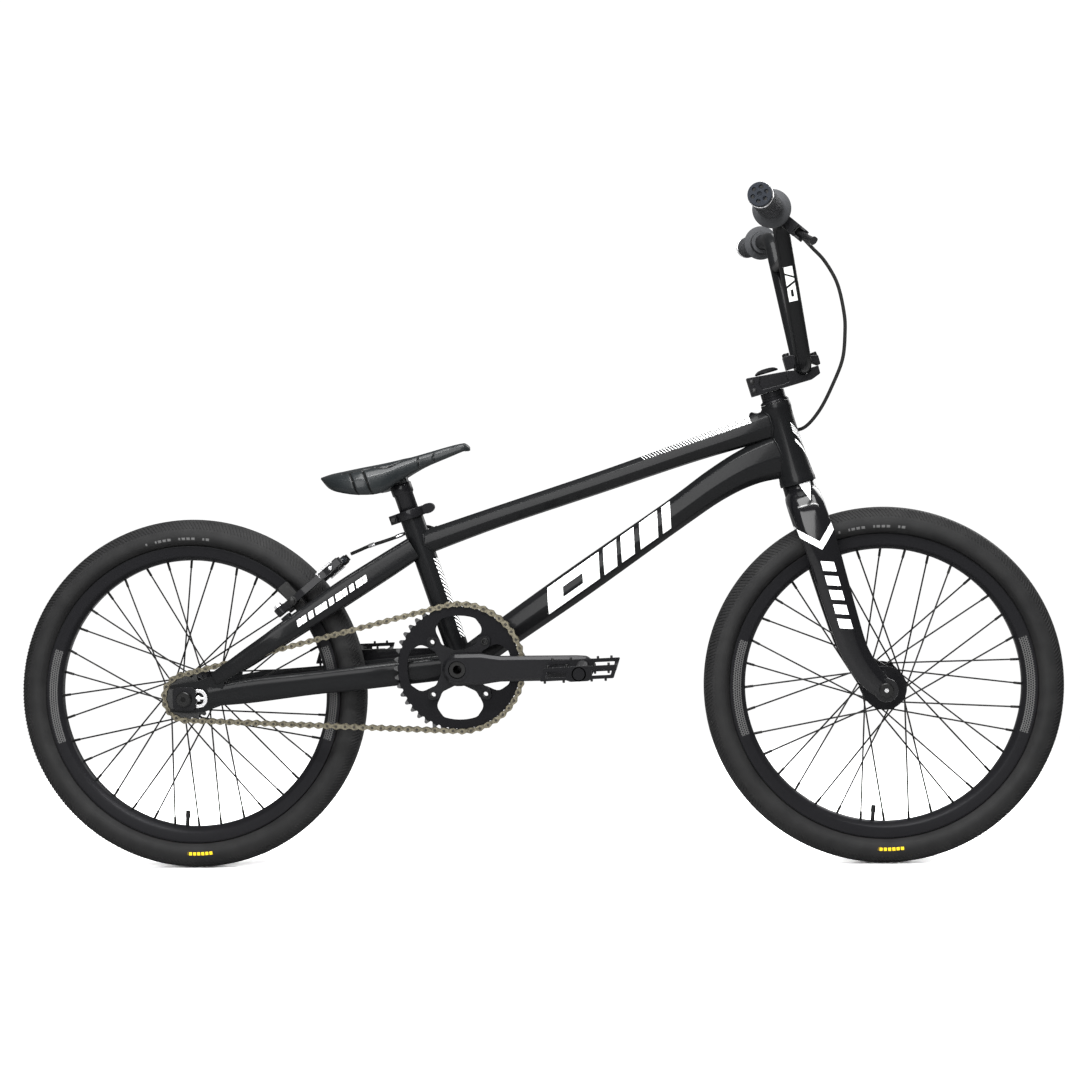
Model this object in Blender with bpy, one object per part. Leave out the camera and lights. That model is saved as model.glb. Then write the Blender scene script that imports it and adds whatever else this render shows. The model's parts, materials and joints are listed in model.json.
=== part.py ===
"""A 20 inch BMX race bike, built piece by piece.

Metres, +Z up, +X towards the front wheel, drive side facing -Y.
The origin is on the ground, midway between the two axles.
"""
from math import acos, atan2, cos, pi, radians, sin

import bmesh
import bpy
from mathutils import Matrix, Vector

for old in list(bpy.data.objects):
    bpy.data.objects.remove(old, do_unlink=True)

# ---------------------------------------------------------------- driving dimensions
GAP = 0.0003                 # clearance between pieces that touch
WHEELBASE = 0.976
TYRE_RADIUS = 0.250          # 20 x 1.95
RIM_TOP = 0.2125             # bead flange of a 406 mm rim
RIM_FOOT = 0.1913            # inner edge of the deep rim
SPOKES_PER_SIDE = 18
WHEEL_STEPS = 36             # facets round a rim or tyre
LACING_ANGLE = radians(60)   # three-cross lacing
FLANGE_RADIUS = 0.0305
REAR_DROPOUT_Y = 0.0553      # inner face, 110 mm hub
FRONT_DROPOUT_Y = 0.0503     # inner face, 100 mm hub

BB = Vector((-0.101, 0, 0.287))
CHAINLINE = 0.0445
CHAIN_PITCH = 0.0127
RING_TEETH = 44
COG_TEETH = 16
CRANK_LENGTH = 0.175
PEDAL_TILT = radians(2)

HEAD_FOOT = Vector((0.3754, 0, 0.5341))
HEAD_TILT = radians(15)
HEAD_LENGTH = 0.117
STEERER_RADIUS = 0.0143      # 1 1/8 inch
BAR_REACH = 0.050            # bar centre ahead of the steering axis
BAR_RISE = 0.1545            # bar centre above the head tube's foot
BAR_RADIUS = 0.0111
BAR_END = Vector((0.3176, 0.3556, 0.8954))
BAR_BEND = Vector((0.3487, 0.150, 0.8880))

SEAT_TILT = radians(18.06)
SEAT_TUBE_LENGTH = 0.232
POST_RADIUS = 0.0136         # 27.2 mm

REAR_AXLE = Vector((-WHEELBASE / 2, 0, TYRE_RADIUS))
FRONT_AXLE = Vector((WHEELBASE / 2, 0, TYRE_RADIUS))


def pitch_radius(teeth):
    return CHAIN_PITCH / (2 * sin(pi / teeth))


# ---------------------------------------------------------------- frames of reference
def side_frame(point):
    """Local x forward, local y up, local z out towards the drive side."""
    return Matrix.Translation(point) @ Matrix.Rotation(pi / 2, 4, 'X')


def axes_frame(origin, x_axis, z_axis):
    z = z_axis.normalized()
    x = (x_axis - z * x_axis.dot(z)).normalized()
    y = z.cross(x)
    turn = Matrix((x, y, z)).transposed().to_4x4()
    return Matrix.Translation(origin) @ turn


WORLD = Matrix.Identity(4)
STEER = Matrix.Translation(HEAD_FOOT) @ Matrix.Rotation(-HEAD_TILT, 4, 'Y')
SEAT = Matrix.Translation(BB) @ Matrix.Rotation(-SEAT_TILT, 4, 'Y')
REAR = side_frame(REAR_AXLE)
FRONT = side_frame(FRONT_AXLE)
CRANK = side_frame(BB)
BAR_CENTRE = STEER @ Vector((BAR_REACH, 0, BAR_RISE))


# ---------------------------------------------------------------- materials
def finish(name, colour, roughness, metallic):
    mat = bpy.data.materials.new(name)
    mat.use_nodes = True
    shader = mat.node_tree.nodes["Principled BSDF"]
    shader.inputs["Base Color"].default_value = (*colour, 1)
    shader.inputs["Roughness"].default_value = roughness
    shader.inputs["Metallic"].default_value = metallic
    return mat


FRAME_BLACK = ("frame_black", (0.012, 0.012, 0.013), 0.35, 0.0)
FORK_BLACK = ("fork_black", (0.010, 0.010, 0.012), 0.15, 0.0)
ANODISED = ("anodised_black", (0.015, 0.015, 0.017), 0.4, 0.6)
RUBBER = ("tyre_rubber", (0.018, 0.018, 0.018), 0.75, 0.0)
GRIP_RUBBER = ("grip_rubber", (0.035, 0.036, 0.038), 0.8, 0.0)
CHAIN_STEEL = ("chain_steel", (0.42, 0.38, 0.32), 0.35, 1.0)
SADDLE_SKIN = ("saddle_skin", (0.03, 0.033, 0.035), 0.5, 0.0)
HOUSING = ("cable_housing", (0.02, 0.02, 0.02), 0.45, 0.0)


# ---------------------------------------------------------------- modelling helpers
def pivot(name, frame):
    empty = bpy.data.objects.new(name, None)
    bpy.context.collection.objects.link(empty)
    empty.matrix_basis = frame
    empty["frame"] = [v for row in frame for v in row]
    return empty


def add(name, bm, frame, look, parent=None):
    """Turns a bmesh in a local frame into a named object on its parent's axis."""
    mesh = bpy.data.meshes.new(name)
    bm.to_mesh(mesh)
    bm.free()
    mesh.shade_smooth()
    mesh.set_sharp_from_angle(angle=radians(35))
    obj = bpy.data.objects.new(name, mesh)
    bpy.context.collection.objects.link(obj)
    if look:
        mesh.materials.append(finish(name, *look[1:]))
    if parent:
        obj.parent = parent
        obj.matrix_basis = parent.matrix_basis.inverted() @ frame
    else:
        obj.matrix_basis = frame
    return obj


def helper(name, bm, frame):
    obj = add(name, bm, frame, None)
    obj.hide_render = True
    obj.display_type = 'WIRE'
    return obj


def boolean(obj, other, operation):
    mod = obj.modifiers.new(operation.lower(), 'BOOLEAN')
    mod.operation = operation
    mod.solver = 'EXACT'
    mod.object = other


def carve(obj, *cutters):
    for cutter in cutters:
        boolean(obj, cutter, 'DIFFERENCE')


def fuse(obj, *others):
    for other in others:
        boolean(obj, other, 'UNION')


def outward(bm):
    bmesh.ops.recalc_face_normals(bm, faces=bm.faces)
    return bm


def solid(rings, loop=False):
    """Skins rings of equal length; open rows of rings are capped."""
    bm = bmesh.new()
    rows = [[bm.verts.new(p) for p in ring] for ring in rings]
    pairs = list(zip(rows, rows[1:]))
    if loop:
        pairs.append((rows[-1], rows[0]))
    for a, b in pairs:
        for i in range(len(a)):
            j = (i + 1) % len(a)
            bm.faces.new((a[i], a[j], b[j], b[i]))
    if not loop:
        bm.faces.new(rows[0][::-1])
        bm.faces.new(rows[-1])
    return outward(bm)


def turned(profile, steps=24):
    """Turns a closed (radius, z) outline that stays off the axis."""
    rings = []
    for k in range(steps):
        a = 2 * pi * k / steps
        rings.append([(r * cos(a), r * sin(a), z) for r, z in profile])
    return solid(rings, loop=True)


def rod(profile, steps=16):
    """A turned solid given as (z, radius) from end to end."""
    rings = []
    for z, r in profile:
        rings.append([(r * cos(2 * pi * k / steps), r * sin(2 * pi * k / steps), z)
                      for k in range(steps)])
    return solid(rings)


def plate(outline, z0, z1, holes=()):
    """A flat outline with holes, extruded from z0 to z1."""
    bm = bmesh.new()
    edges = []
    for line in (outline, *holes):
        verts = [bm.verts.new((x, y, z0)) for x, y in line]
        for a, b in zip(verts, verts[1:] + verts[:1]):
            edges.append(bm.edges.new((a, b)))
    bmesh.ops.triangle_fill(bm, use_beauty=True, edges=edges)
    grown = bmesh.ops.extrude_face_region(bm, geom=bm.faces[:])
    moved = [g for g in grown["geom"] if isinstance(g, bmesh.types.BMVert)]
    bmesh.ops.translate(bm, verts=moved, vec=(0, 0, z1 - z0))
    return outward(bm)


def block(x, y, z):
    """A box from three (low, high) pairs."""
    return plate([(x[0], y[0]), (x[1], y[0]), (x[1], y[1]), (x[0], y[1])], z[0], z[1])


def arc(cx, cy, r, start, end, steps):
    """Points on an arc, angles in degrees."""
    angles = [radians(start + (end - start) * k / steps) for k in range(steps + 1)]
    return [(cx + r * cos(a), cy + r * sin(a)) for a in angles]


def circle(cx, cy, r, steps=12):
    return arc(cx, cy, r, 0, 360 - 360 / steps, steps - 1)


def section_axes(points, side):
    """Across and up directions of the section at each point of a path."""
    axes = []
    for i in range(len(points)):
        run = points[min(i + 1, len(points) - 1)] - points[max(i - 1, 0)]
        run.normalize()
        across = (side - run * side.dot(run)).normalized()
        axes.append((across, run.cross(across)))
    return axes


def lofted(stations, shape, grow=0.0, side=Vector((0, 1, 0))):
    """A tube through (centre, half width, half height) stations."""
    points = [Vector(s[0]) for s in stations]
    rings = []
    for (centre, width, height), point, axes in zip(stations, points, section_axes(points, side)):
        across, up = axes
        rings.append([point + across * (u * (width + grow)) + up * (v * (height + grow))
                      for u, v in shape])
    return solid(rings)


def rounded_path(corners, radius, steps):
    """Replaces each inner corner of a path with an arc."""
    path = [corners[0]]
    for a, b, c in zip(corners, corners[1:], corners[2:]):
        back = (a - b).normalized()
        ahead = (c - b).normalized()
        half = acos(max(-1, min(1, back.dot(ahead)))) / 2
        reach = radius * cos(half) / sin(half)
        start = b + back * reach
        centre = b + (back + ahead).normalized() * (radius / sin(half))
        spoke = start - centre
        axis = spoke.cross(ahead).normalized()
        turn = pi - 2 * half
        for k in range(steps + 1):
            path.append(centre + Matrix.Rotation(turn * k / steps, 3, axis) @ spoke)
    path.append(corners[-1])
    return path


def smooth_route(points, spacing):
    """Evenly spaced points on a Catmull-Rom curve through the route's points."""
    points = [Vector(p) for p in points]
    ends = [points[0] * 2 - points[1], *points, points[-1] * 2 - points[-2]]
    fine = []
    for a, b, c, d in zip(ends, ends[1:], ends[2:], ends[3:]):
        for k in range(20):
            t = k / 20
            fine.append(0.5 * (2 * b + (c - a) * t + (2 * a - 5 * b + 4 * c - d) * t ** 2
                               + (3 * b - a - 3 * c + d) * t ** 3))
    fine.append(points[-1])
    length = sum((q - p).length for p, q in zip(fine, fine[1:]))
    count = max(2, round(length / spacing))
    out, run, target = [fine[0]], 0.0, length / count
    for p, q in zip(fine, fine[1:]):
        step = (q - p).length
        while run + step >= target and len(out) < count:
            out.append(p.lerp(q, (target - run) / step))
            target += length / count
        run += step
    return out + [fine[-1]]


def cable(name, points, radius, look):
    """A held cable: a poly curve with a round bevel and filled ends."""
    data = bpy.data.curves.new(name, 'CURVE')
    data.dimensions = '3D'
    data.bevel_depth = radius
    data.bevel_resolution = 2
    data.use_fill_caps = True
    spline = data.splines.new('POLY')
    spline.points.add(len(points) - 1)
    for slot, point in zip(spline.points, points):
        slot.co = (*point, 1)
    data.materials.append(finish(name, *look[1:]))
    obj = bpy.data.objects.new(name, data)
    bpy.context.collection.objects.link(obj)
    return obj


def mirrored(stations):
    return [((x, -y, z), w, h) for (x, y, z), w, h in stations]


# ---------------------------------------------------------------- joints
steering = pivot("steering_axis", STEER)
front_spin = pivot("front_wheel_axis", FRONT)
rear_spin = pivot("rear_wheel_axis", REAR)
crank_spin = pivot("crank_axis", CRANK)
post_slide = pivot("seat_post_axis", SEAT)


# ---------------------------------------------------------------- frame: head tube
HEAD_OUTSIDE = [(0.0252, 0.0), (0.0252, 0.008), (0.0232, 0.022), (0.0208, 0.060),
                (0.0198, 0.095), (0.0206, 0.108), (0.0206, HEAD_LENGTH)]


def make_head_tube():
    top = HEAD_LENGTH
    bore = [(0.0192, top), (0.0192, top - 0.009), (0.0170, top - 0.009),
            (0.0170, 0.013), (0.0222, 0.013), (0.0222, 0.0)]
    add("head_tube", turned(HEAD_OUTSIDE + bore), STEER, FRAME_BLACK)
    grown = [(z, r + GAP) for r, z in HEAD_OUTSIDE]
    grown[0] = (-0.002, grown[0][1])
    grown[-1] = (top + 0.002, grown[-1][1])
    return helper("head_tube_clearance", rod(grown, 24), STEER)


def make_headset():
    lower = [(0.0219, 0.0006), (0.0219, 0.0125), (0.0148, 0.0125), (0.0148, 0.0006)]
    add("headset_bearing_lower", turned(lower), STEER, ANODISED)
    top = HEAD_LENGTH
    upper = [(0.0189, top - 0.0085), (0.0189, top - 0.0005),
             (0.0148, top - 0.0005), (0.0148, top - 0.0085)]
    add("headset_bearing_upper", turned(upper), STEER, ANODISED)
    stack = [(0.0202, top + 0.0004), (0.0202, top + 0.0025), (0.0168, top + 0.0050),
             (0.0168, 0.1330), (0.0146, 0.1330), (0.0146, top + 0.0004)]
    add("headset_spacers", turned(stack), STEER, ANODISED, steering)


# ---------------------------------------------------------------- frame: main tubes
TOP_TUBE_SHAPE = [(-0.45, 1.0), (-0.92, 0.55), (-1.0, -0.15), (-0.62, -0.85), (-0.22, -1.0),
                  (0.22, -1.0), (0.62, -0.85), (1.0, -0.15), (0.92, 0.55), (0.45, 1.0)]
DOWN_TUBE_SHAPE = [(-0.32, 1.0), (-0.84, 0.70), (-1.0, -0.05), (-0.74, -0.68), (-0.30, -1.0),
                   (0.30, -1.0), (0.74, -0.68), (1.0, -0.05), (0.84, 0.70), (0.32, 1.0)]
TOP_TUBE = [((-0.160, 0, 0.4575), 0.0150, 0.0172), ((-0.050, 0, 0.4945), 0.0155, 0.0150),
            ((0.100, 0, 0.5415), 0.0170, 0.0150), ((0.220, 0, 0.5805), 0.0190, 0.0162),
            ((0.300, 0, 0.6055), 0.0190, 0.0190), ((0.352, 0, 0.6220), 0.0165, 0.0215)]
DOWN_TUBE = [((-0.101, 0, 0.2870), 0.0200, 0.0205), ((-0.030, 0, 0.3365), 0.0215, 0.0215),
             ((0.070, 0, 0.4040), 0.0225, 0.0228), ((0.200, 0, 0.4925), 0.0225, 0.0215),
             ((0.262, 0, 0.5350), 0.0215, 0.0232), ((0.312, 0, 0.5610), 0.0195, 0.0270),
             ((0.362, 0, 0.5760), 0.0170, 0.0330)]


def port(start, end, radius):
    """A cable port: a short boss from inside the tube to its mouth."""
    run = Vector(end) - Vector(start)
    return rod([(0.0, radius), (run.length, radius)], 12), axes_frame(Vector(start), Vector((0, 0, 1)), run)


def thinner(stations, wall):
    return [(c, w - wall, h - wall) for c, w, h in stations]


def make_main_tubes(head_clearance, shell_clearance, seat_clearance):
    top = add("top_tube", lofted(TOP_TUBE, TOP_TUBE_SHAPE), WORLD, FRAME_BLACK)
    bore = helper("top_tube_bore", lofted(thinner(TOP_TUBE, 0.0022), TOP_TUBE_SHAPE), WORLD)
    fuse(top, helper("front_port", *port((0.3120, 0.0060, 0.6300), (0.3290, 0.0205, 0.6270), 0.0050)),
         helper("rear_port", *port((-0.118, 0.0060, 0.4720), (-0.1385, 0.0145, 0.4795), 0.0050)))
    carve(top, head_clearance, seat_clearance, bore)
    room = helper("top_tube_clearance", lofted(TOP_TUBE, TOP_TUBE_SHAPE, GAP), WORLD)
    down = add("down_tube", lofted(DOWN_TUBE, DOWN_TUBE_SHAPE), WORLD, FRAME_BLACK)
    bore = helper("down_tube_bore", lofted(thinner(DOWN_TUBE, 0.0024), DOWN_TUBE_SHAPE), WORLD)
    carve(down, head_clearance, shell_clearance, seat_clearance, room, bore)


def make_seat_tube(shell_clearance):
    wall = [(0.0165, 0.0), (0.0165, SEAT_TUBE_LENGTH), (0.0139, SEAT_TUBE_LENGTH), (0.0139, 0.0)]
    tube = add("seat_tube", turned(wall, 20), SEAT, FRAME_BLACK)
    carve(tube, shell_clearance)
    reach = [(0.0, 0.0165 + GAP), (SEAT_TUBE_LENGTH + 0.01, 0.0165 + GAP)]
    return helper("seat_tube_clearance", rod(reach, 20), SEAT)


def make_bottom_bracket():
    shell = [(0.0222, -0.034), (0.0222, 0.034), (0.0172, 0.034), (0.0172, -0.034)]
    add("bb_shell", turned(shell), CRANK, FRAME_BLACK)
    cup = [(0.0168, 0.022), (0.0168, 0.0343), (0.0215, 0.0343), (0.0215, 0.0425),
           (0.0125, 0.0425), (0.0125, 0.022)]
    add("bb_cup_right", turned(cup), CRANK, ANODISED)
    left = [(r, -z) for r, z in cup]
    add("bb_cup_left", turned(left), CRANK, ANODISED)
    return helper("bb_shell_clearance", rod([(-0.036, 0.0222 + GAP), (0.036, 0.0222 + GAP)], 24), CRANK)


# ---------------------------------------------------------------- frame: rear triangle
STAY_SHAPE = [(-0.55, 1.0), (-1.0, 0.60), (-1.0, -0.60), (-0.55, -1.0),
              (0.55, -1.0), (1.0, -0.60), (1.0, 0.60), (0.55, 1.0)]
CHAINSTAY = [((-0.454, 0.0583, 0.2522), 0.0055, 0.0135), ((-0.397, 0.0500, 0.2590), 0.0075, 0.0172),
             ((-0.312, 0.0405, 0.2672), 0.0080, 0.0162), ((-0.240, 0.0372, 0.2740), 0.0080, 0.0168),
             ((-0.188, 0.0288, 0.2787), 0.0085, 0.0170), ((-0.110, 0.0240, 0.2860), 0.0085, 0.0170)]
SEATSTAY = [((-0.4445, 0.0590, 0.2775), 0.0052, 0.0095), ((-0.420, 0.0590, 0.2927), 0.0056, 0.0110),
            ((-0.396, 0.0580, 0.3084), 0.0060, 0.0120), ((-0.368, 0.0578, 0.3264), 0.0060, 0.0130),
            ((-0.350, 0.0540, 0.3382), 0.0065, 0.0140), ((-0.320, 0.0445, 0.3576), 0.0068, 0.0153),
            ((-0.300, 0.0400, 0.3705), 0.0070, 0.0160), ((-0.260, 0.0325, 0.3964), 0.0070, 0.0172),
            ((-0.210, 0.0225, 0.4270), 0.0075, 0.0170), ((-0.166, 0.0150, 0.4540), 0.0080, 0.0160)]
DROPOUT_EDGE = [(-0.0215, -0.0185), (0.0020, -0.0205), (0.0260, -0.0190), (0.0500, -0.0110),
                (0.0570, 0.0230), (0.0490, 0.0345), (0.0230, 0.0255), (-0.0215, 0.0190)]


def make_dropout(name, sign):
    """Plate with a slot open to the rear, let into the ends of both stays."""
    slot = [(-0.0215, 0.0142), (0.0190, 0.0142), *arc(0.0190, 0, 0.0142, 75, -75, 6),
            (0.0190, -0.0142), (-0.0215, -0.0142)]
    span = sorted((sign * REAR_DROPOUT_Y, sign * (REAR_DROPOUT_Y + 0.006)))
    add(name, plate(slot + DROPOUT_EDGE, *span), REAR, FRAME_BLACK)
    room = plate([(x * 1.01, y * 1.02) for x, y in DROPOUT_EDGE], span[0] - GAP, span[1] + GAP)
    return helper(name + "_clearance", room, REAR)


def make_stay(name, stations, solid_from, cutters):
    stay = add(name, lofted(stations, STAY_SHAPE), WORLD, FRAME_BLACK)
    bore = [s for s in thinner(stations, 0.0022) if s[0][0] > solid_from]
    hollow = helper(name + "_bore", lofted(bore, STAY_SHAPE), WORLD)
    carve(stay, *cutters, hollow)
    return stay, helper(name + "_clearance", lofted(stations, STAY_SHAPE, GAP), WORLD)


ARM_FOOT = Vector((-0.3513, 0, 0.3707))
ARM_HEAD = Vector((-0.2650, 0, 0.4420))
BOSS_Y = 0.0400


def brake_frame(sign):
    """At the pivot boss: local x up the arm, local y out to the side, local z off the stay."""
    run = (ARM_HEAD - ARM_FOOT).normalized()
    out = Vector((0, sign, 0))
    origin = Vector((ARM_FOOT.x, sign * BOSS_Y, ARM_FOOT.z))
    turn = Matrix((run, out, run.cross(out))).transposed().to_4x4()
    return Matrix.Translation(origin) @ turn


def make_rear_triangle(shell_clearance, seat_clearance):
    rooms = []
    for side, sign in (("right", 1), ("left", -1)):
        flip = mirrored if sign > 0 else list
        room = make_dropout("dropout_" + side, sign)
        rooms.append(make_stay("chainstay_" + side, flip(CHAINSTAY), -0.40, (shell_clearance, room))[1])
        seatstay, _ = make_stay("seatstay_" + side, flip(SEATSTAY), -0.37, (seat_clearance, room))
        boss = rod([(-0.0085, 0.0042), (0.0240, 0.0042)], 12)
        toward_stay = brake_frame(-sign) @ Matrix.Rotation(0 if sign > 0 else pi, 4, 'X')
        foot_width = (-0.0060, 0.0140) if sign > 0 else (-0.0140, 0.0060)
        foot = block((-0.0065, 0.0065), foot_width, (0.0095, 0.0240))
        fuse(seatstay, helper("brake_boss_" + side, boss, toward_stay),
             helper("boss_foot_" + side, foot, toward_stay))
    bridge = block((-0.206, -0.196), (-0.0240, 0.0240), (0.270, 0.286))
    carve(add("stay_bridge", bridge, WORLD, FRAME_BLACK), *rooms)


def make_axle_blocks():
    """Carriers that hold the rear axle in the dropout slots."""
    for side, sign in (("right", 1), ("left", -1)):
        low = REAR_DROPOUT_Y
        depth = tuple(sorted((sign * low, sign * (low + 0.0075))))
        foot = block((-0.0140, 0.0145), (-0.0136, 0.0136), depth)
        face = plate([(-0.0120, -0.0165), (0.0120, -0.0165), (0.0165, -0.0120), (0.0165, 0.0120),
                      (0.0120, 0.0165), (-0.0120, 0.0165), (-0.0165, 0.0120), (-0.0165, -0.0120)],
                     *sorted((sign * (low + 0.0063), sign * (low + 0.0093))))
        carrier = add("axle_block_" + side, foot, REAR, ANODISED)
        fuse(carrier, helper("axle_face_" + side, face, REAR))
        carve(carrier, helper("axle_hole_" + side, rod([(-0.08, 0.0056), (0.08, 0.0056)], 16), REAR))


def make_rear_axle():
    head = REAR_DROPOUT_Y + 0.0096
    profile = [(-head - 0.006, 0.0105), (-head, 0.0105), (-head, 0.0050), (head, 0.0050),
               (head, 0.0105), (head + 0.006, 0.0105)]
    axle = add("rear_axle", rod(profile), REAR, ANODISED)
    for end in (-1, 1):
        reach = sorted((end * (head + 0.002), end * (head + 0.010)))
        socket = rod([(reach[0], 0.0040), (reach[1], 0.0040)], 6)
        carve(axle, helper("rear_axle_socket", socket, REAR))


# ---------------------------------------------------------------- seat post, clamp, saddle
def make_seat_clamp():
    base = SEAT_TUBE_LENGTH - 0.013
    ring = [(0.0202, base), (0.0202, base + 0.013), (0.0168, base + 0.013), (0.0168, base)]
    clamp = add("seat_clamp", turned(ring, 20), SEAT, ANODISED)
    rear = helper("clamp_ears", block((-0.0300, -0.0185), (-0.0085, 0.0085), (base, base + 0.013)), SEAT)
    nose = plate([(0.0185, -0.007), *arc(0.0290, 0, 0.0070, -90, 90, 6), (0.0185, 0.007)],
                 base, base + 0.013)
    slot = helper("clamp_slot", block((-0.040, -0.015), (-0.001, 0.001), (base - 0.01, base + 0.03)), SEAT)
    fuse(clamp, rear, helper("clamp_nose", nose, SEAT))
    carve(clamp, slot)


POST_TOP = 0.2700


def make_seat_post():
    tube = [(0.120, POST_RADIUS), (POST_TOP - 0.014, POST_RADIUS), (POST_TOP - 0.012, 0.0155),
            (POST_TOP, 0.0155)]
    post = add("seat_post", rod(tube, 20), SEAT, ANODISED, post_slide)
    bore = rod([(0.110, POST_RADIUS - 0.0022), (POST_TOP - 0.020, POST_RADIUS - 0.0022)], 20)
    carve(post, helper("seat_post_bore", bore, SEAT))


SADDLE = [(-0.294, 0.5562, 0.5530, 0.022), (-0.280, 0.5605, 0.5400, 0.038),
          (-0.262, 0.5640, 0.5340, 0.049), (-0.235, 0.5690, 0.5305, 0.053),
          (-0.205, 0.5742, 0.5330, 0.046), (-0.180, 0.5795, 0.5500, 0.033),
          (-0.150, 0.5870, 0.5665, 0.022), (-0.115, 0.5962, 0.5805, 0.0165),
          (-0.095, 0.6003, 0.5885, 0.0145), (-0.0845, 0.5955, 0.5925, 0.008)]


def saddle_section(x, top, foot, half):
    """Domed on top, with skirts that hang lower than the middle of the base."""
    depth = top - foot
    side = [(0.55 * half, top - 0.04 * depth), (0.90 * half, top - 0.30 * depth),
            (half, top - 0.72 * depth), (0.92 * half, foot), (0.55 * half, foot + 0.30 * depth)]
    right = [(x, -y, z) for y, z in side]
    left = [(x, y, z) for y, z in reversed(side)]
    return right + left


def make_saddle():
    rings = [saddle_section(*station) for station in SADDLE]
    saddle = add("saddle", solid(rings), WORLD, SADDLE_SKIN, post_slide)
    foot = block((-0.0125, 0.0125), (-0.0110, 0.0110), (POST_TOP + GAP, POST_TOP + 0.020))
    fuse(saddle, helper("saddle_bracket", foot, SEAT))


# ---------------------------------------------------------------- wheels
TYRE_OUTSIDE = [(0.2040, 0.0110), (0.2130, 0.0110), (0.2188, 0.0215), (0.2272, 0.0245),
                (0.2385, 0.0205), (0.2475, 0.0095)]
TYRE_INSIDE = [(0.2370, 0.0165), (0.2215, 0.0192), (0.2140, 0.0080), (0.2040, 0.0080)]


def make_tyre(name, frame, parent):
    half = [*TYRE_OUTSIDE, (TYRE_RADIUS, 0.0)]
    other = [(r, -z) for r, z in reversed(TYRE_OUTSIDE)]
    inner = [(r, -z) for r, z in reversed(TYRE_INSIDE)] + [(0.2468, 0.0)] + TYRE_INSIDE
    add(name, turned(half + other + inner, WHEEL_STEPS), frame, RUBBER, parent)


def make_rim(name, frame, parent):
    half = [(0.1945, 0.0040), (0.2000, 0.0114), (RIM_TOP, 0.0114), (RIM_TOP, 0.0145),
            (0.1985, 0.0145), (RIM_FOOT, 0.0065)]
    other = [(r, -z) for r, z in reversed(half)]
    add(name, turned(half + other, WHEEL_STEPS), frame, ANODISED, parent)


def spoke(start, end, thickness):
    """One straight three-sided spoke as its corners at each end."""
    run = (end - start).normalized()
    side = run.cross(Vector((0, 0, 1))).normalized()
    up = side.cross(run)
    corners = [(0, 1.1), (-1, -0.6), (1, -0.6)]
    offsets = [(side * u + up * v) * (thickness / 2) for u, v in corners]
    return [start + o for o in offsets], [end + o for o in offsets]


def spoke_set(flange_z, turn, offset, lean):
    """Half the spokes of one flange, all leaning the same way."""
    bm = bmesh.new()
    for k in range(SPOKES_PER_SIDE // 2):
        a = offset + 4 * pi * k / SPOKES_PER_SIDE
        near, far = FLANGE_RADIUS + 0.0012, RIM_FOOT - 0.0012
        start = Vector((near * cos(a), near * sin(a), flange_z + lean))
        end = Vector((far * cos(a + turn), far * sin(a + turn), 0.12 * flange_z + lean))
        rings = [[bm.verts.new(p) for p in ring] for ring in spoke(start, end, 0.0020)]
        for i in range(3):
            j = (i + 1) % 3
            bm.faces.new((rings[0][i], rings[0][j], rings[1][j], rings[1][i]))
        bm.faces.new(rings[0][::-1])
        bm.faces.new(rings[1])
    return outward(bm)


def make_spokes(name, flange_z, turn, frame, parent):
    """Leading and trailing spokes, joined where they cross."""
    step = 2 * pi / SPOKES_PER_SIDE
    leading = add(name, spoke_set(flange_z, LACING_ANGLE, turn, 0.0004), frame, ANODISED, parent)
    trailing = spoke_set(flange_z, -LACING_ANGLE, turn + step, -0.0004)
    fuse(leading, helper(name + "_trailing", trailing, frame))


def hub_profile(left_end, left_flange, right_flange, right_end):
    barrel, flange, bore, edge = 0.0165, FLANGE_RADIUS, 0.0056, 0.0016
    return [(0.0120, left_end), (barrel, left_end + 0.004), (barrel, left_flange - edge),
            (flange, left_flange - edge), (flange, left_flange + edge), (barrel, left_flange + edge),
            (barrel, right_flange - edge), (flange, right_flange - edge),
            (flange, right_flange + edge), (barrel, right_flange + edge),
            (barrel, right_end - 0.004), (0.0120, right_end), (bore, right_end), (bore, left_end)]


def make_wheel(name, frame, parent, flanges, ends):
    make_tyre(name + "_tyre", frame, parent)
    make_rim(name + "_rim", frame, parent)
    hub = hub_profile(ends[0], flanges[0], flanges[1], ends[1])
    add(name + "_hub", turned(hub, 20), frame, ANODISED, parent)
    make_spokes(name + "_spokes_left", flanges[0], pi / SPOKES_PER_SIDE, frame, parent)
    make_spokes(name + "_spokes_right", flanges[1], 0.0, frame, parent)


# ---------------------------------------------------------------- drivetrain
def toothed_outline(teeth, tip_height):
    pitch = pitch_radius(teeth)
    root, tip = pitch - 0.0040, pitch + tip_height
    step = 2 * pi / teeth
    outline = []
    for k in range(teeth):
        a = k * step
        for r, turn in ((root, -0.30), (tip, -0.11), (tip, 0.11), (root, 0.30)):
            outline.append((r * cos(a + turn * step), r * sin(a + turn * step)))
    return outline


def ring_window():
    """Inner edge of the chainring: wide bays between four bolt tabs."""
    outline = []
    for k in range(4):
        tab = 45 + 90 * k
        outline += arc(0, 0, 0.0450, tab - 13, tab + 13, 2)
        outline += arc(0, 0, 0.0690, tab + 24, tab + 66, 6)
    return outline


def make_chainring():
    ring = plate(toothed_outline(RING_TEETH, 0.0029), CHAINLINE - 0.0015, CHAINLINE + 0.0015,
                 [ring_window()])
    add("chainring", ring, CRANK, ANODISED, crank_spin)


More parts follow.
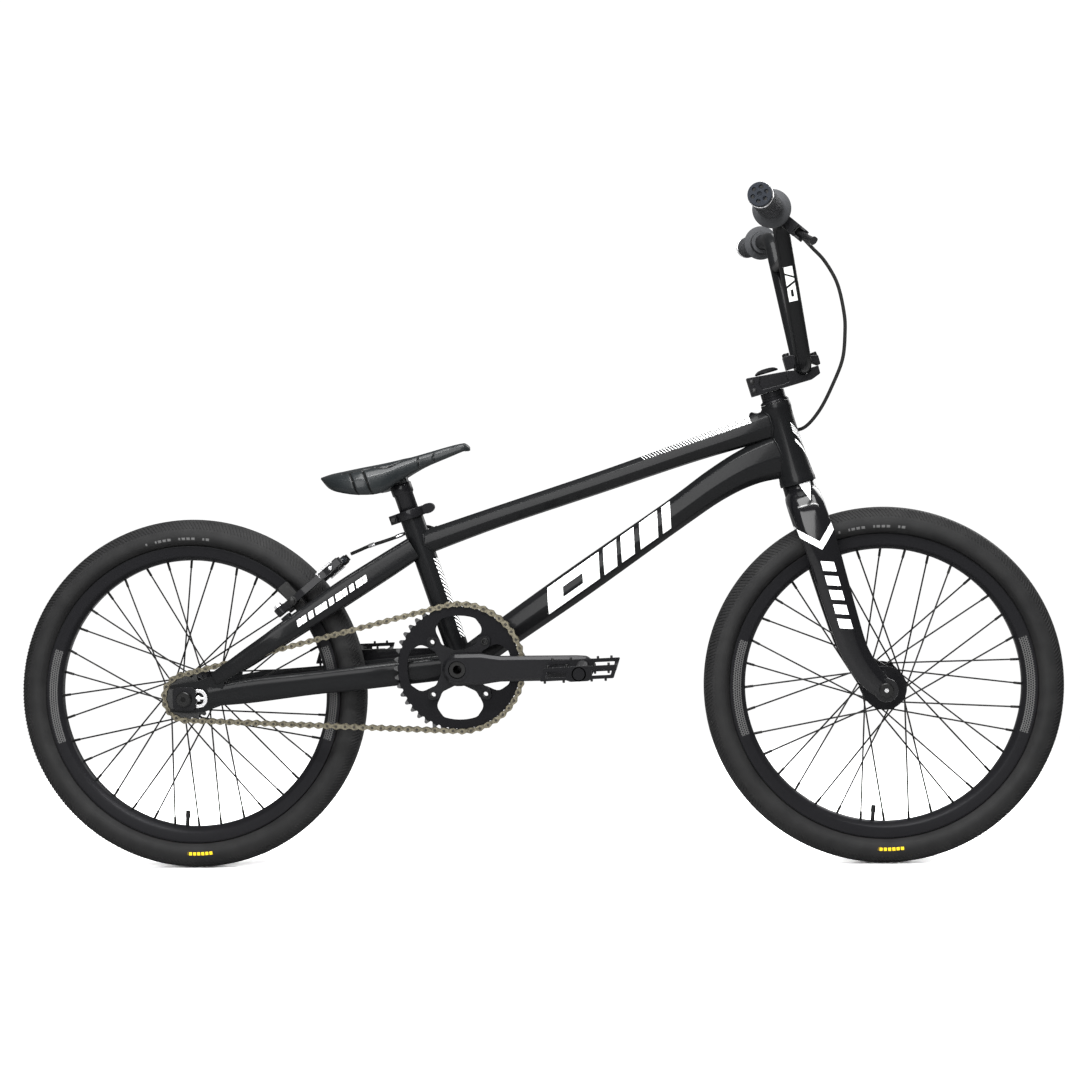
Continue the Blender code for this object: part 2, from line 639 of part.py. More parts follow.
def make_cog():
    """Sixteen-tooth cog on its driver."""
    outline = toothed_outline(COG_TEETH, 0.0029)
    cog = plate(outline, CHAINLINE - 0.0015, CHAINLINE + 0.0015, [circle(0, 0, 0.0150, 20)])
    cog = add("rear_cog", cog, REAR, ANODISED, rear_spin)
    sleeve = [(0.0170, 0.0376), (0.0170, 0.0540), (0.0056, 0.0540), (0.0056, 0.0376)]
    fuse(cog, helper("cog_driver", turned(sleeve, 20), REAR))


def chain_stations():
    """Pitch-line points and outward normals round the cog and the chainring."""
    cog, ring = Vector((REAR_AXLE.x, REAR_AXLE.z)), Vector((BB.x, BB.z))
    small, large = pitch_radius(COG_TEETH), pitch_radius(RING_TEETH)
    run = ring - cog
    heading = atan2(run.y, run.x)
    open_angle = acos((small - large) / run.length)
    stations = []
    for centre, radius, start, end, steps in (
            (ring, large, heading - open_angle, heading + open_angle, 22),
            (cog, small, heading + open_angle, heading + 2 * pi - open_angle, 14)):
        for k in range(steps + 1):
            a = start + (end - start) * k / steps
            normal = Vector((cos(a), sin(a)))
            stations.append((centre + normal * radius, normal))
    return stations


def make_chain():
    """A channel that wraps the teeth: side plates and a web outside the tips."""
    half, plate_in, foot, web = 0.0043, 0.0020, -0.0040, 0.0046
    shape = [(foot, half), (web, half), (web, -half), (foot, -half), (foot, -plate_in),
             (web - 0.0008, -plate_in), (web - 0.0008, plate_in), (foot, plate_in)]
    rings = []
    for point, normal in chain_stations():
        rings.append([((point + normal * n).x, -CHAINLINE - z, (point + normal * n).y)
                      for n, z in shape])
    add("chain", solid(rings, loop=True), WORLD, CHAIN_STEEL)


def arm_outline():
    """Side view of a crank arm: deep at the spindle, slimmer to a round pedal end."""
    end = CRANK_LENGTH
    upper = [(0.0350, 0.0215), (0.0560, 0.0175), (end - 0.004, 0.0170)]
    return [*arc(0, 0, 0.0215, 270, 90, 8), *upper, *arc(end - 0.002, 0, 0.0170, 70, -70, 6),
            *[(x, -y) for x, y in reversed(upper)]]


ARM_INNER, ARM_OUTER = 0.0600, 0.0760


def make_crank_arm(name, sign):
    span = sorted((sign * ARM_INNER, sign * ARM_OUTER))
    outline = [(sign * x, y) for x, y in arm_outline()]
    arm = add(name, plate(outline, *span), CRANK, ANODISED, crank_spin)
    if sign > 0:
        star = []
        for k in range(4):
            tab = 45 + 90 * k
            star += arc(0, 0, 0.0250, tab - 38, tab - 30, 1)
            star += arc(0, 0, 0.0610, tab - 9.5, tab + 9.5, 2)
            star += arc(0, 0, 0.0250, tab + 30, tab + 38, 1)
        spider = plate(star, CHAINLINE + 0.0018, CHAINLINE + 0.0070)
        boss = rod([(CHAINLINE + 0.0030, 0.0200), (ARM_INNER + 0.002, 0.0200)], 20)
        fuse(arm, helper("spider", spider, CRANK), helper("spider_boss", boss, CRANK))
    else:
        boss = rod(sorted([(-ARM_INNER - 0.002, 0.0180), (-0.0450, 0.0180)]), 20)
        fuse(arm, helper("left_boss", boss, CRANK))
    bore = rod([(-0.08, 0.0123), (0.08, 0.0123)], 24)
    eye = rod([(-0.08, 0.0071), (0.08, 0.0071)], 16)
    offset = Matrix.Translation((sign * CRANK_LENGTH, 0, 0))
    carve(arm, helper(name + "_bore", bore, CRANK), helper(name + "_eye", eye, CRANK @ offset))


def make_spindle():
    wall = [(0.0120, -0.0755), (0.0120, 0.0755), (0.0095, 0.0755), (0.0095, -0.0755)]
    add("crank_spindle", turned(wall), CRANK, ANODISED, crank_spin)


# ---------------------------------------------------------------- pedals
PEDAL_IN, PEDAL_OUT = 0.0860, 0.1850


def pedal_side():
    """Slanted side plate of the cage, with a window each side of the bearing."""
    outline = [(-0.0520, -0.0150), (0.0430, -0.0150), (0.0520, 0.0150), (-0.0430, 0.0150)]
    front = [(0.0180, -0.0080), (0.0360, -0.0080), (0.0410, 0.0080), (0.0180, 0.0080)]
    return outline, [front, [(-x, -y) for x, y in front]]


def make_pedal(side, sign):
    frame = CRANK @ Matrix.Translation((sign * CRANK_LENGTH, 0, 0)) @ Matrix.Rotation(PEDAL_TILT, 4, 'Z')
    axis = pivot("pedal_axis_" + side, frame)
    outline, windows = pedal_side()

    def along(low, high):
        return sorted((sign * low, sign * high))

    name = "pedal_" + side
    body = add(name, plate(outline, *along(PEDAL_OUT - 0.005, PEDAL_OUT), windows), frame, ANODISED, axis)
    inner = helper(name + "_inner", plate(outline, *along(PEDAL_IN, PEDAL_IN + 0.005), windows), frame)
    barrel = helper(name + "_barrel", rod([(z, 0.0135) for z in along(PEDAL_IN + 0.001, PEDAL_OUT - 0.001)],
                                          16), frame)
    front = [(0.0400, -0.0090), (0.0445, -0.0090), (0.0500, 0.0090), (0.0455, 0.0090)]
    rear = [(-x, -y) for x, y in front]
    rails = [helper(name + "_rail", plate(rail, *along(PEDAL_IN + 0.001, PEDAL_OUT - 0.001)), frame)
             for rail in (front, rear)]
    fuse(body, inner, barrel, *rails)
    bore = rod([(z, 0.0062) for z in along(PEDAL_IN - 0.01, PEDAL_OUT - 0.004)], 16)
    carve(body, helper(name + "_bore", bore, frame))
    profile = [(ARM_INNER + 0.001, 0.0068), (ARM_OUTER, 0.0068), (ARM_OUTER + 0.0004, 0.0068),
               (ARM_OUTER + 0.0004, 0.0095), (PEDAL_IN - 0.0010, 0.0095), (PEDAL_IN - 0.0010, 0.0055),
               (PEDAL_OUT - 0.008, 0.0055)]
    profile = [(sign * z, r) for z, r in profile]
    add("pedal_axle_" + side, rod(profile), CRANK @ Matrix.Translation((sign * CRANK_LENGTH, 0, 0)),
        ANODISED, crank_spin)


# ---------------------------------------------------------------- fork and front axle
FORK_SHAPE = [(-0.62, 1.0), (-1.0, 0.35), (-1.0, -0.35), (-0.62, -1.0),
              (0.62, -1.0), (1.0, -0.35), (1.0, 0.35), (0.62, 1.0)]
FORK_LEG = [((0.0010, 0.0220, -0.0230), 0.0245, 0.0160), ((0.0015, 0.0400, -0.0350), 0.0245, 0.0140),
            ((0.0025, 0.0500, -0.0590), 0.0240, 0.0110), ((0.0045, 0.0552, -0.0920), 0.0232, 0.0088),
            ((0.0052, 0.0570, -0.1400), 0.0218, 0.0072), ((0.0060, 0.0571, -0.1900), 0.0204, 0.0066),
            ((0.0085, 0.0571, -0.2400), 0.0188, 0.0062), ((0.0190, 0.0571, -0.2780), 0.0175, 0.0060),
            ((0.0330, 0.0571, -0.3020), 0.0145, 0.0058)]


def make_fork():
    """One moulding: crown and both legs in an arch, fused to the steerer."""
    right = [((x, -y, z), w, h) for (x, y, z), w, h in reversed(FORK_LEG)]
    arch = right + [((0.0010, 0.0, -0.0215), 0.0245, 0.0178)] + FORK_LEG
    fork = add("fork", lofted(arch, FORK_SHAPE, side=Vector((1, 0, 0))), STEER, FORK_BLACK, steering)
    steerer = [(-0.0250, STEERER_RADIUS), (-0.0250, 0.0225), (-0.0004, 0.0225), (-0.0004, STEERER_RADIUS),
               (0.1560, STEERER_RADIUS)]
    fuse(fork, helper("steerer", rod(steerer, 24), STEER))
    for side, sign in (("right", 1), ("left", -1)):
        span = sorted((sign * (FRONT_DROPOUT_Y + 0.001), sign * (FRONT_DROPOUT_Y + 0.0120)))
        eye = rod([(span[0], 0.0165), (span[1], 0.0165)], 20)
        fuse(fork, helper("fork_end_" + side, eye, FRONT))
    carve(fork, helper("fork_axle_hole", rod([(-0.08, 0.0056), (0.08, 0.0056)], 16), FRONT))


def make_front_axle():
    head = FRONT_DROPOUT_Y + 0.0131
    profile = [(-head - 0.004, 0.0100), (-head, 0.0100), (-head, 0.0050), (head, 0.0050),
               (head, 0.0100), (head + 0.004, 0.0100)]
    axle = add("front_axle", rod(profile), FRONT, ANODISED, steering)
    bore = rod([(-0.08, 0.0030), (0.08, 0.0030)], 12)
    carve(axle, helper("front_axle_bore", bore, FRONT))


# ---------------------------------------------------------------- stem, bar, grips
def make_stem():
    """Top-load stem in the steering frame: the bar drops into a groove under a cap."""
    upright = STEER @ Matrix.Rotation(pi / 2, 4, 'X')
    body = [(-0.0290, 0.1334), (0.0580, 0.1340), (0.0700, 0.1385), (0.0705, 0.1500),
            (0.0280, 0.1545), (-0.0296, 0.1605)]
    cap = [(0.0270, 0.1556), (0.0705, 0.1508), (0.0740, 0.1510), (0.0740, 0.1640), (0.0640, 0.1665),
           (0.0580, 0.1715), (0.0420, 0.1725), (0.0370, 0.1745), (0.0270, 0.1745)]
    stem = add("stem", plate(body, -0.0215, 0.0215), upright, ANODISED, steering)
    lid = add("stem_cap", plate(cap, -0.0215, 0.0215), upright, ANODISED, steering)
    groove = side_frame(BAR_CENTRE)
    seat = helper("bar_seat", rod([(-0.05, BAR_RADIUS + GAP), (0.05, BAR_RADIUS + GAP)], 20), groove)
    bore = helper("steerer_bore", rod([(0.12, 0.0146), (0.18, 0.0146)], 24), STEER)
    carve(stem, seat, bore)
    carve(lid, seat)
    dome = [(0.1600, 0.0160), (0.1620, 0.0165), (0.1655, 0.0110), (0.1665, 0.0040)]
    add("top_cap", rod(dome, 20), STEER, ANODISED, steering)


def ring_points(point, across, up, radius, sides):
    return [point + across * (radius * cos(2 * pi * k / sides)) + up * (radius * sin(2 * pi * k / sides))
            for k in range(sides)]


def swept(path, radius, sides):
    """A round bar along a path, its section kept from twisting."""
    rings = []
    across = None
    for i, point in enumerate(path):
        run = (path[min(i + 1, len(path) - 1)] - path[max(i - 1, 0)]).normalized()
        start = across if across else Vector((1, 0, 0))
        across = (start - run * start.dot(run)).normalized()
        rings.append(ring_points(point, across, run.cross(across), radius, sides))
    return solid(rings)


def make_handlebar():
    foot = BAR_CENTRE + Vector((0, 0.046, 0))
    half = rounded_path([BAR_CENTRE, foot, BAR_BEND, BAR_END], 0.040, 5)
    flip = Matrix.Diagonal((1, -1, 1))
    path = [flip @ p for p in reversed(half)] + half[1:]
    bar = add("handlebar", swept(path, BAR_RADIUS, 12), WORLD, ANODISED, steering)
    run = (BAR_BEND - foot).normalized()
    joint = foot + run * 0.170
    brace = [Vector((joint.x, -joint.y, joint.z)), joint]
    fuse(bar, helper("bar_brace", swept(brace, 0.0064, 10), WORLD))
    long_path = [path[0] * 1.2 - path[1] * 0.2, *path[1:-1], path[-1] * 1.2 - path[-2] * 0.2]
    carve(bar, helper("bar_bore", swept(long_path, BAR_RADIUS - 0.0022, 12), WORLD))


def grip_frame(sign):
    """At the bar's end, local z outwards along the grip, local x forward and down."""
    end = Vector((BAR_END.x, sign * BAR_END.y, BAR_END.z))
    bend = Vector((BAR_BEND.x, sign * BAR_BEND.y, BAR_BEND.z))
    return axes_frame(end, Vector((0.755, 0, -0.656)), end - bend)


def make_grips():
    for side, sign in (("right", -1), ("left", 1)):
        frame = grip_frame(sign)
        inner, outer = BAR_RADIUS + GAP, 0.0152
        sleeve = [(inner, -0.142), (0.0162, -0.142), (0.0162, -0.1285), (0.0250, -0.126),
                  (0.0250, -0.1225), (0.0170, -0.120), (outer, -0.116), (outer, -0.0002),
                  (inner, -0.0002)]
        add("grip_" + side, turned(sleeve, 20), frame, GRIP_RUBBER, steering)
        plug = [(-0.012, 0.0080), (0.0002, 0.0080), (0.0002, 0.0150), (0.0030, 0.0150), (0.0040, 0.0135)]
        add("bar_plug_" + side, rod(plug), frame, ANODISED, steering)


# ---------------------------------------------------------------- brake lever
LEVER_PIVOT = Vector((0.0430, 0, -0.1620))


def make_brake_lever():
    """Lever bracket round the bar with two ears, and the blade between them."""
    frame = grip_frame(-1)
    ring = [(BAR_RADIUS + GAP, -0.1665), (0.0160, -0.1665), (0.0160, -0.1535), (BAR_RADIUS + GAP, -0.1535)]
    bracket = add("brake_lever_bracket", turned(ring, 20), frame, ANODISED, steering)
    neck = helper("lever_neck", block((0.0140, 0.0350), (-0.0080, 0.0080), (-0.1860, -0.1535)), frame)
    ears = [helper("lever_ear", block((0.0340, 0.0500), y, (-0.1700, -0.1535)), frame)
            for y in ((-0.0080, -0.0052), (0.0052, 0.0080))]
    barrel = rod([(-0.2060, 0.0042), (-0.1850, 0.0050)], 12)
    fuse(bracket, neck, *ears, helper("lever_barrel", barrel, frame @ Matrix.Translation((0.0290, 0, 0))))
    turn = Matrix.Rotation(pi / 2, 4, 'X')
    hinge = frame @ Matrix.Translation(LEVER_PIVOT) @ turn
    pin = rod([(-0.0079, 0.0025), (0.0079, 0.0025)], 12)
    fuse(bracket, helper("lever_pin", pin, hinge))
    axis = pivot("brake_lever_axis", hinge)
    outline = [(-0.0060, -0.0060), (0.0060, -0.0060), (0.0150, 0.0080), (0.0270, 0.0300), (0.0330, 0.0700),
               (0.0380, 0.1050), (0.0350, 0.1080), (0.0270, 0.0700), (0.0200, 0.0340), (-0.0040, 0.0060)]
    blade = add("brake_lever", plate(outline, -0.0048, 0.0048), hinge, ANODISED, axis)
    carve(blade, helper("lever_hole", rod([(-0.02, 0.0029), (0.02, 0.0029)], 12), hinge))


# ---------------------------------------------------------------- rim brake
def make_brake_arms():
    for side, sign in (("right", -1), ("left", 1)):
        frame = brake_frame(sign)
        name = "brake_arm_" + side
        axis = pivot("brake_arm_axis_" + side, frame)
        outline = [(-0.0080, -0.0070), (0.0080, -0.0070), (0.0400, -0.0050), (0.1100, -0.0120),
                   (0.1100, -0.0020), (0.0420, 0.0060), (0.0080, 0.0080), (-0.0080, 0.0080)]
        arm = add(name, plate(outline, -0.0060, 0.0060), frame, ANODISED, axis)
        shoe = block((0.0120, 0.0290), (-0.0230, -0.0110), (-0.0280, 0.0260))
        stud = block((0.0170, 0.0260), (-0.0120, -0.0030), (-0.0050, 0.0050))
        fuse(arm, helper(name + "_shoe", shoe, frame), helper(name + "_stud", stud, frame))
        carve(arm, helper(name + "_hole", rod([(-0.03, 0.0046), (0.03, 0.0046)], 12), frame))


# ---------------------------------------------------------------- brake cable
FRONT_ROUTE = [(0.3700, -0.1552, 0.8690), (0.3725, -0.1420, 0.8682), (0.3800, -0.1220, 0.8640),
               (0.3950, -0.1000, 0.8510), (0.4120, -0.0850, 0.8340), (0.4290, -0.0700, 0.8050),
               (0.4385, -0.0550, 0.7660), (0.4400, -0.0450, 0.7390), (0.4375, -0.0300, 0.7060),
               (0.4270, -0.0120, 0.6760), (0.4080, 0.0100, 0.6370), (0.3860, 0.0270, 0.6120),
               (0.3640, 0.0355, 0.6100), (0.3480, 0.0335, 0.6190), (0.3375, 0.0276, 0.6255),
               (0.3295, 0.0209, 0.6269)]
REAR_ROUTE = [(-0.1392, 0.0148, 0.4797), (-0.1500, 0.0200, 0.4825), (-0.1620, 0.0228, 0.4815),
              (-0.1760, 0.0228, 0.4760), (-0.1950, 0.0205, 0.4685), (-0.2150, 0.0190, 0.4620),
              (-0.2350, 0.0230, 0.4560), (-0.2500, 0.0290, 0.4500), (-0.2625, 0.0330, 0.4450)]


def make_cables():
    cable("brake_housing_front", smooth_route(FRONT_ROUTE, 0.014), 0.0025, HOUSING)
    cable("brake_housing_rear", smooth_route(REAR_ROUTE, 0.014), 0.0025, HOUSING)


# ---------------------------------------------------------------- assembly
head_room = make_head_tube()
make_headset()
shell_room = make_bottom_bracket()
seat_room = make_seat_tube(shell_room)
make_main_tubes(head_room, shell_room, seat_room)
make_rear_triangle(shell_room, seat_room)
make_axle_blocks()
make_rear_axle()
make_seat_clamp()
make_seat_post()
make_saddle()
make_wheel("front", FRONT, front_spin, (-0.0335, 0.0335), (-0.0494, 0.0494))
make_wheel("rear", REAR, rear_spin, (-0.0310, 0.0290), (-0.0544, 0.0370))
make_cog()
make_chainring()
make_chain()
make_spindle()
make_crank_arm("crank_arm_right", 1)
make_crank_arm("crank_arm_left", -1)
make_pedal("right", 1)
make_pedal("left", -1)
make_fork()
make_front_axle()
make_stem()
make_handlebar()
make_grips()
make_brake_lever()
make_brake_arms()
make_cables()
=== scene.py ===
from math import acos, atan2, cos, pi, radians, sin, tan

import bmesh
import bpy
from mathutils import Matrix, Vector
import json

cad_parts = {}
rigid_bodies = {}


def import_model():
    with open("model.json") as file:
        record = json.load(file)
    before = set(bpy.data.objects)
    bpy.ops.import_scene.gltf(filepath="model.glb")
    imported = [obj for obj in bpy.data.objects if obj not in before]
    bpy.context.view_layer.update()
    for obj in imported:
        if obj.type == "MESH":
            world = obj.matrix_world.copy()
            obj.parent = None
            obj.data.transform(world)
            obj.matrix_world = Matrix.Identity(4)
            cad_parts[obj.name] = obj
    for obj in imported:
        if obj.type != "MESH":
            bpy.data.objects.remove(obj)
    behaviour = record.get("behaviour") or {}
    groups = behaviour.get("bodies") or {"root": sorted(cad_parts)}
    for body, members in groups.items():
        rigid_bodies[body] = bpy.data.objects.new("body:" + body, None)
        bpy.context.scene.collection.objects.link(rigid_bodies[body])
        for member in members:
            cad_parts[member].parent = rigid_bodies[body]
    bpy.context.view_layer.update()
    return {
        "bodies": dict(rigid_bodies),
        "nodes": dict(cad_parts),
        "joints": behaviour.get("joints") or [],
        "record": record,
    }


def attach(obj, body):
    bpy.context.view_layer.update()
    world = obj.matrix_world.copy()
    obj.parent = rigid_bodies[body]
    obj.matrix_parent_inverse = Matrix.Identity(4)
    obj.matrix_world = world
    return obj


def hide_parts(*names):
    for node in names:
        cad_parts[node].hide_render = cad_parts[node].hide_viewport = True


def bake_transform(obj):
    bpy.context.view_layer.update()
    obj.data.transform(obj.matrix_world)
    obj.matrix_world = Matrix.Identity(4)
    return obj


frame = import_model()
joints = {joint["name"]: joint for joint in frame["joints"]}


# ------------------------------------------------------------------ studio
# A pale floor under a white sky, lit by three soft panels and a narrow strip above the chain side.
# The floor fades into the backdrop with distance; the camera stands on the chain side, at seat height.
class Channel:
    """A socket of a material that takes part in arithmetic."""

    def __init__(self, finish, socket):
        self.finish = finish
        self.socket = socket

    def math(self, operation, *others):
        inputs = dict(enumerate((self, *others)))
        return self.finish.node("ShaderNodeMath", {"operation": operation}, inputs)

    def __add__(self, other):
        return self.math("ADD", other)

    def __sub__(self, other):
        return self.math("SUBTRACT", other)

    def __rsub__(self, other):
        return self.finish.node("ShaderNodeMath", {"operation": "SUBTRACT"}, {0: other, 1: self})

    def __mul__(self, other):
        return self.math("MULTIPLY", other)

    def __truediv__(self, other):
        return self.math("DIVIDE", other)

    def __lt__(self, other):
        return self.math("LESS_THAN", other)

    def __gt__(self, other):
        return self.math("GREATER_THAN", other)

    def __abs__(self):
        return self.math("ABSOLUTE")

    __radd__ = __add__
    __rmul__ = __mul__

    def repeat(self, length):
        """Runs from 0 to 1 over each stretch of this length."""
        return (self / length).math("FRACT")

    def within(self, low, high):
        return (self > low) * (self < high)


class Finish:
    """A Principled material and the nodes that feed it."""

    def __init__(self, name, colour, roughness, metallic=0.0, coat=0.0, specular=0.06):
        self.material = bpy.data.materials.new(name)
        self.material.use_nodes = True
        self.tree = self.material.node_tree
        self.shader = self.tree.nodes["Principled BSDF"]
        settings = {"Base Color": (*colour, 1), "Roughness": roughness, "Metallic": metallic,
                    "Coat Weight": coat, "Coat Roughness": 0.08, "Specular IOR Level": specular}
        for socket, value in settings.items():
            self.shader.inputs[socket].default_value = value
        self.colour = (*colour, 1)

    def node(self, kind, settings=None, inputs=None, output=0):
        made = self.tree.nodes.new(kind)
        for key, value in (settings or {}).items():
            setattr(made, key, value)
        for key, value in (inputs or {}).items():
            self.plug(made.inputs[key], value)
        return Channel(self, made.outputs[output])

    def plug(self, socket, value):
        if isinstance(value, Channel):
            self.tree.links.new(value.socket, socket)
        else:
            socket.default_value = value

    def feed(self, socket, value):
        self.plug(self.shader.inputs[socket], value)

    def place(self):
        return self.node("ShaderNodeTexCoord", output="Object")

    def xyz(self):
        split = self.node("ShaderNodeSeparateXYZ", inputs={0: self.place()}).socket.node
        return [Channel(self, out) for out in split.outputs]

    def noise(self, scale, detail=3.0):
        return self.node("ShaderNodeTexNoise", inputs={"Vector": self.place(), "Scale": scale,
                                                       "Detail": detail})

    def mix(self, first, second, mask):
        return self.node("ShaderNodeMix", {"data_type": "RGBA"}, {0: mask, 6: first, 7: second}, 2)

    def bump(self, height, depth, strength=1.0):
        normal = self.node("ShaderNodeBump", inputs={"Height": height, "Distance": depth,
                                                     "Strength": strength})
        self.feed("Normal", normal)

    def mottle(self, scale, roughness, spread, grain, depth):
        """Uneven gloss and a fine surface grain, as every real finish has."""
        self.feed("Roughness", self.noise(scale) * (2 * spread) + (roughness - spread))
        self.bump(self.noise(grain, 2.0), depth)
        return self


def lay(name, mesh):
    piece = bpy.data.objects.new(name, mesh)
    bpy.context.collection.objects.link(piece)
    return piece


FLOOR_HALF = 12.0
floor_mesh = bpy.data.meshes.new("studio_floor")
corners = [(x * FLOOR_HALF, y * FLOOR_HALF, 0) for x, y in ((-1, -1), (1, -1), (1, 1), (-1, 1))]
floor_mesh.from_pydata(corners, [], [(0, 1, 2, 3)])
floor_paint = Finish("studio_floor", (0.5, 0.5, 0.5), 0.9, specular=0.0)
seen = floor_paint.node("ShaderNodeLightPath")
across, along, _ = floor_paint.xyz()
far = ((across * across * 0.55 + along * along).math("SQRT") - 0.35).math("MAXIMUM", 0.0)
far = far.math("MINIMUM", 1.0)
glow = floor_paint.node("ShaderNodeEmission", inputs={"Color": (1, 1, 1, 1), "Strength": 1.03})
near = floor_paint.node("ShaderNodeBsdfDiffuse", inputs={"Color": (2.1, 2.1, 2.1, 1)})
lit = floor_paint.node("ShaderNodeMixShader", inputs={0: far, 1: near, 2: glow})
plain = Channel(floor_paint, floor_paint.shader.outputs[0])
floor_surface = floor_paint.node("ShaderNodeMixShader", inputs={0: seen, 1: plain, 2: lit})
floor_paint.plug(floor_paint.tree.nodes["Material Output"].inputs[0], floor_surface)
floor_mesh.materials.append(floor_paint.material)
lay("studio_floor", floor_mesh)

sky = bpy.data.worlds.new("studio_sky")
sky.use_nodes = True
backdrop = sky.node_tree.nodes["Background"]
backdrop.inputs["Color"].default_value = (1, 1, 1, 1)
direct = sky.node_tree.nodes.new("ShaderNodeLightPath").outputs["Is Camera Ray"]
strength = sky.node_tree.nodes.new("ShaderNodeMapRange")
strength.inputs["To Min"].default_value = 0.24
strength.inputs["To Max"].default_value = 1.05
sky.node_tree.links.new(direct, strength.inputs["Value"])
sky.node_tree.links.new(strength.outputs[0], backdrop.inputs["Strength"])
bpy.context.scene.world = sky
bpy.context.scene.view_settings.view_transform = "Standard"

LIGHT_TARGET = Vector((0, 0, 0.45))
for title, spot, size, depth, power in (("overhead_panel", (0.1, -0.7, 2.4), 1.5, 1.5, 110),
                                        ("front_panel", (-0.6, -3.6, 1.7), 2.0, 2.0, 135),
                                        ("edge_strip", (0.1, -1.3, 2.2), 2.6, 0.12, 60),
                                        ("rim_panel", (1.6, 2.2, 1.8), 1.6, 1.6, 50)):
    panel = bpy.data.lights.new(title, "AREA")
    panel.shape = "RECTANGLE"
    panel.size = size
    panel.size_y = depth
    panel.energy = power
    lamp = bpy.data.objects.new(title, panel)
    bpy.context.collection.objects.link(lamp)
    aim = LIGHT_TARGET - Vector(spot)
    lamp.matrix_world = Matrix.Translation(spot) @ aim.to_track_quat("-Z", "Y").to_matrix().to_4x4()

lens = bpy.data.cameras.new("camera")
lens.lens = 70.1
lens.sensor_width = 36
lens.clip_end = 60
camera = bpy.data.objects.new("camera", lens)
bpy.context.collection.objects.link(camera)
CAMERA_SPOT = (0.236, -2.955, 0.594)
CAMERA_HEADING, CAMERA_PITCH, CAMERA_ROLL = radians(4.33), radians(87.44), radians(-1.22)
camera.matrix_world = (Matrix.Translation(CAMERA_SPOT) @ Matrix.Rotation(CAMERA_HEADING, 4, "Z")
                       @ Matrix.Rotation(CAMERA_PITCH, 4, "X") @ Matrix.Rotation(CAMERA_ROLL, 4, "Z"))
bpy.context.scene.camera = camera


# ------------------------------------------------------------------ head tube and headset
# A short turned aluminium tube that flares at its foot, with a bearing cup at each end.
# Two pale chevrons are printed on its front.
GAP = 0.0003
HEAD_FOOT = Vector(joints["steering_turn"]["pos_m"])
HEAD_TILT = radians(15)
HEAD_LENGTH = 0.117
STEER = Matrix.Translation(HEAD_FOOT) @ Matrix.Rotation(-HEAD_TILT, 4, "Y")


def present(name, bm, finish, body, *nodes, frame=None, sharp=35, bevel=0.0, smooth=0):
    """Makes a bmesh a piece of the bicycle: placed, shaded, painted and riding on its body."""
    if frame is not None:
        bm.transform(frame)
    bmesh.ops.recalc_face_normals(bm, faces=bm.faces)
    mesh = bpy.data.meshes.new(name)
    bm.to_mesh(mesh)
    bm.free()
    mesh.materials.append(finish.material)
    mesh.shade_smooth()
    mesh.set_sharp_from_angle(angle=radians(sharp))
    piece = lay(name, mesh)
    if bevel:
        edge = piece.modifiers.new("edge", "BEVEL")
        edge.width = bevel
        edge.segments = 3
        edge.limit_method = "ANGLE"
        edge.angle_limit = radians(32)
        edge.harden_normals = True
    if smooth:
        curve = piece.modifiers.new("smooth", "SUBSURF")
        curve.levels = curve.render_levels = smooth
    if body:
        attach(piece, body)
    if nodes:
        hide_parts(*nodes)
    return piece


def skin(rings, loop=False, into=None):
    """Skins a row of equal rings, closing both ends or joining the last ring to the first."""
    bm = into or bmesh.new()
    rows = [[bm.verts.new(point) for point in ring] for ring in rings]
    pairs = list(zip(rows, rows[1:]))
    if loop:
        pairs.append((rows[-1], rows[0]))
    for a, b in pairs:
        for i in range(len(a)):
            j = (i + 1) % len(a)
            bm.faces.new((a[i], a[j], b[j], b[i]))
    if not loop:
        bm.faces.new(rows[0][::-1])
        bm.faces.new(rows[-1])
    return bm


def arc(x, y, radius, start, end, steps):
    """Points on an arc, angles in degrees."""
    turns = [radians(start + (end - start) * k / steps) for k in range(steps + 1)]
    return [(x + radius * cos(a), y + radius * sin(a)) for a in turns]


def softened(outline, radius, steps=3):
    """An outline with each corner rounded off."""
    soft = []
    count = len(outline)
    for i in range(count):
        before, corner, after = (Vector(outline[(i + k) % count]) for k in (-1, 0, 1))
        back, ahead = before - corner, after - corner
        reach = min(radius, 0.42 * back.length, 0.42 * ahead.length)
        start, end = corner + back.normalized() * reach, corner + ahead.normalized() * reach
        for k in range(steps + 1):
            t = k / steps
            soft.append(start * (1 - t) ** 2 + corner * (2 * t * (1 - t)) + end * t ** 2)
    return [tuple(point) for point in soft]


def turned(profile, steps=72):
    """Turns a closed outline of (radius, height) round the local z axis."""
    rings = []
    for k in range(steps):
        a = 2 * pi * k / steps
        rings.append([(r * cos(a), r * sin(a), z) for r, z in profile])
    return skin(rings, loop=True)


def rod(profile, steps=32, offset=(0, 0)):
    """A solid of revolution given as (height, radius) from end to end."""
    rings = [[(offset[0] + r * cos(2 * pi * k / steps), offset[1] + r * sin(2 * pi * k / steps), z)
              for k in range(steps)] for z, r in profile]
    return skin(rings)


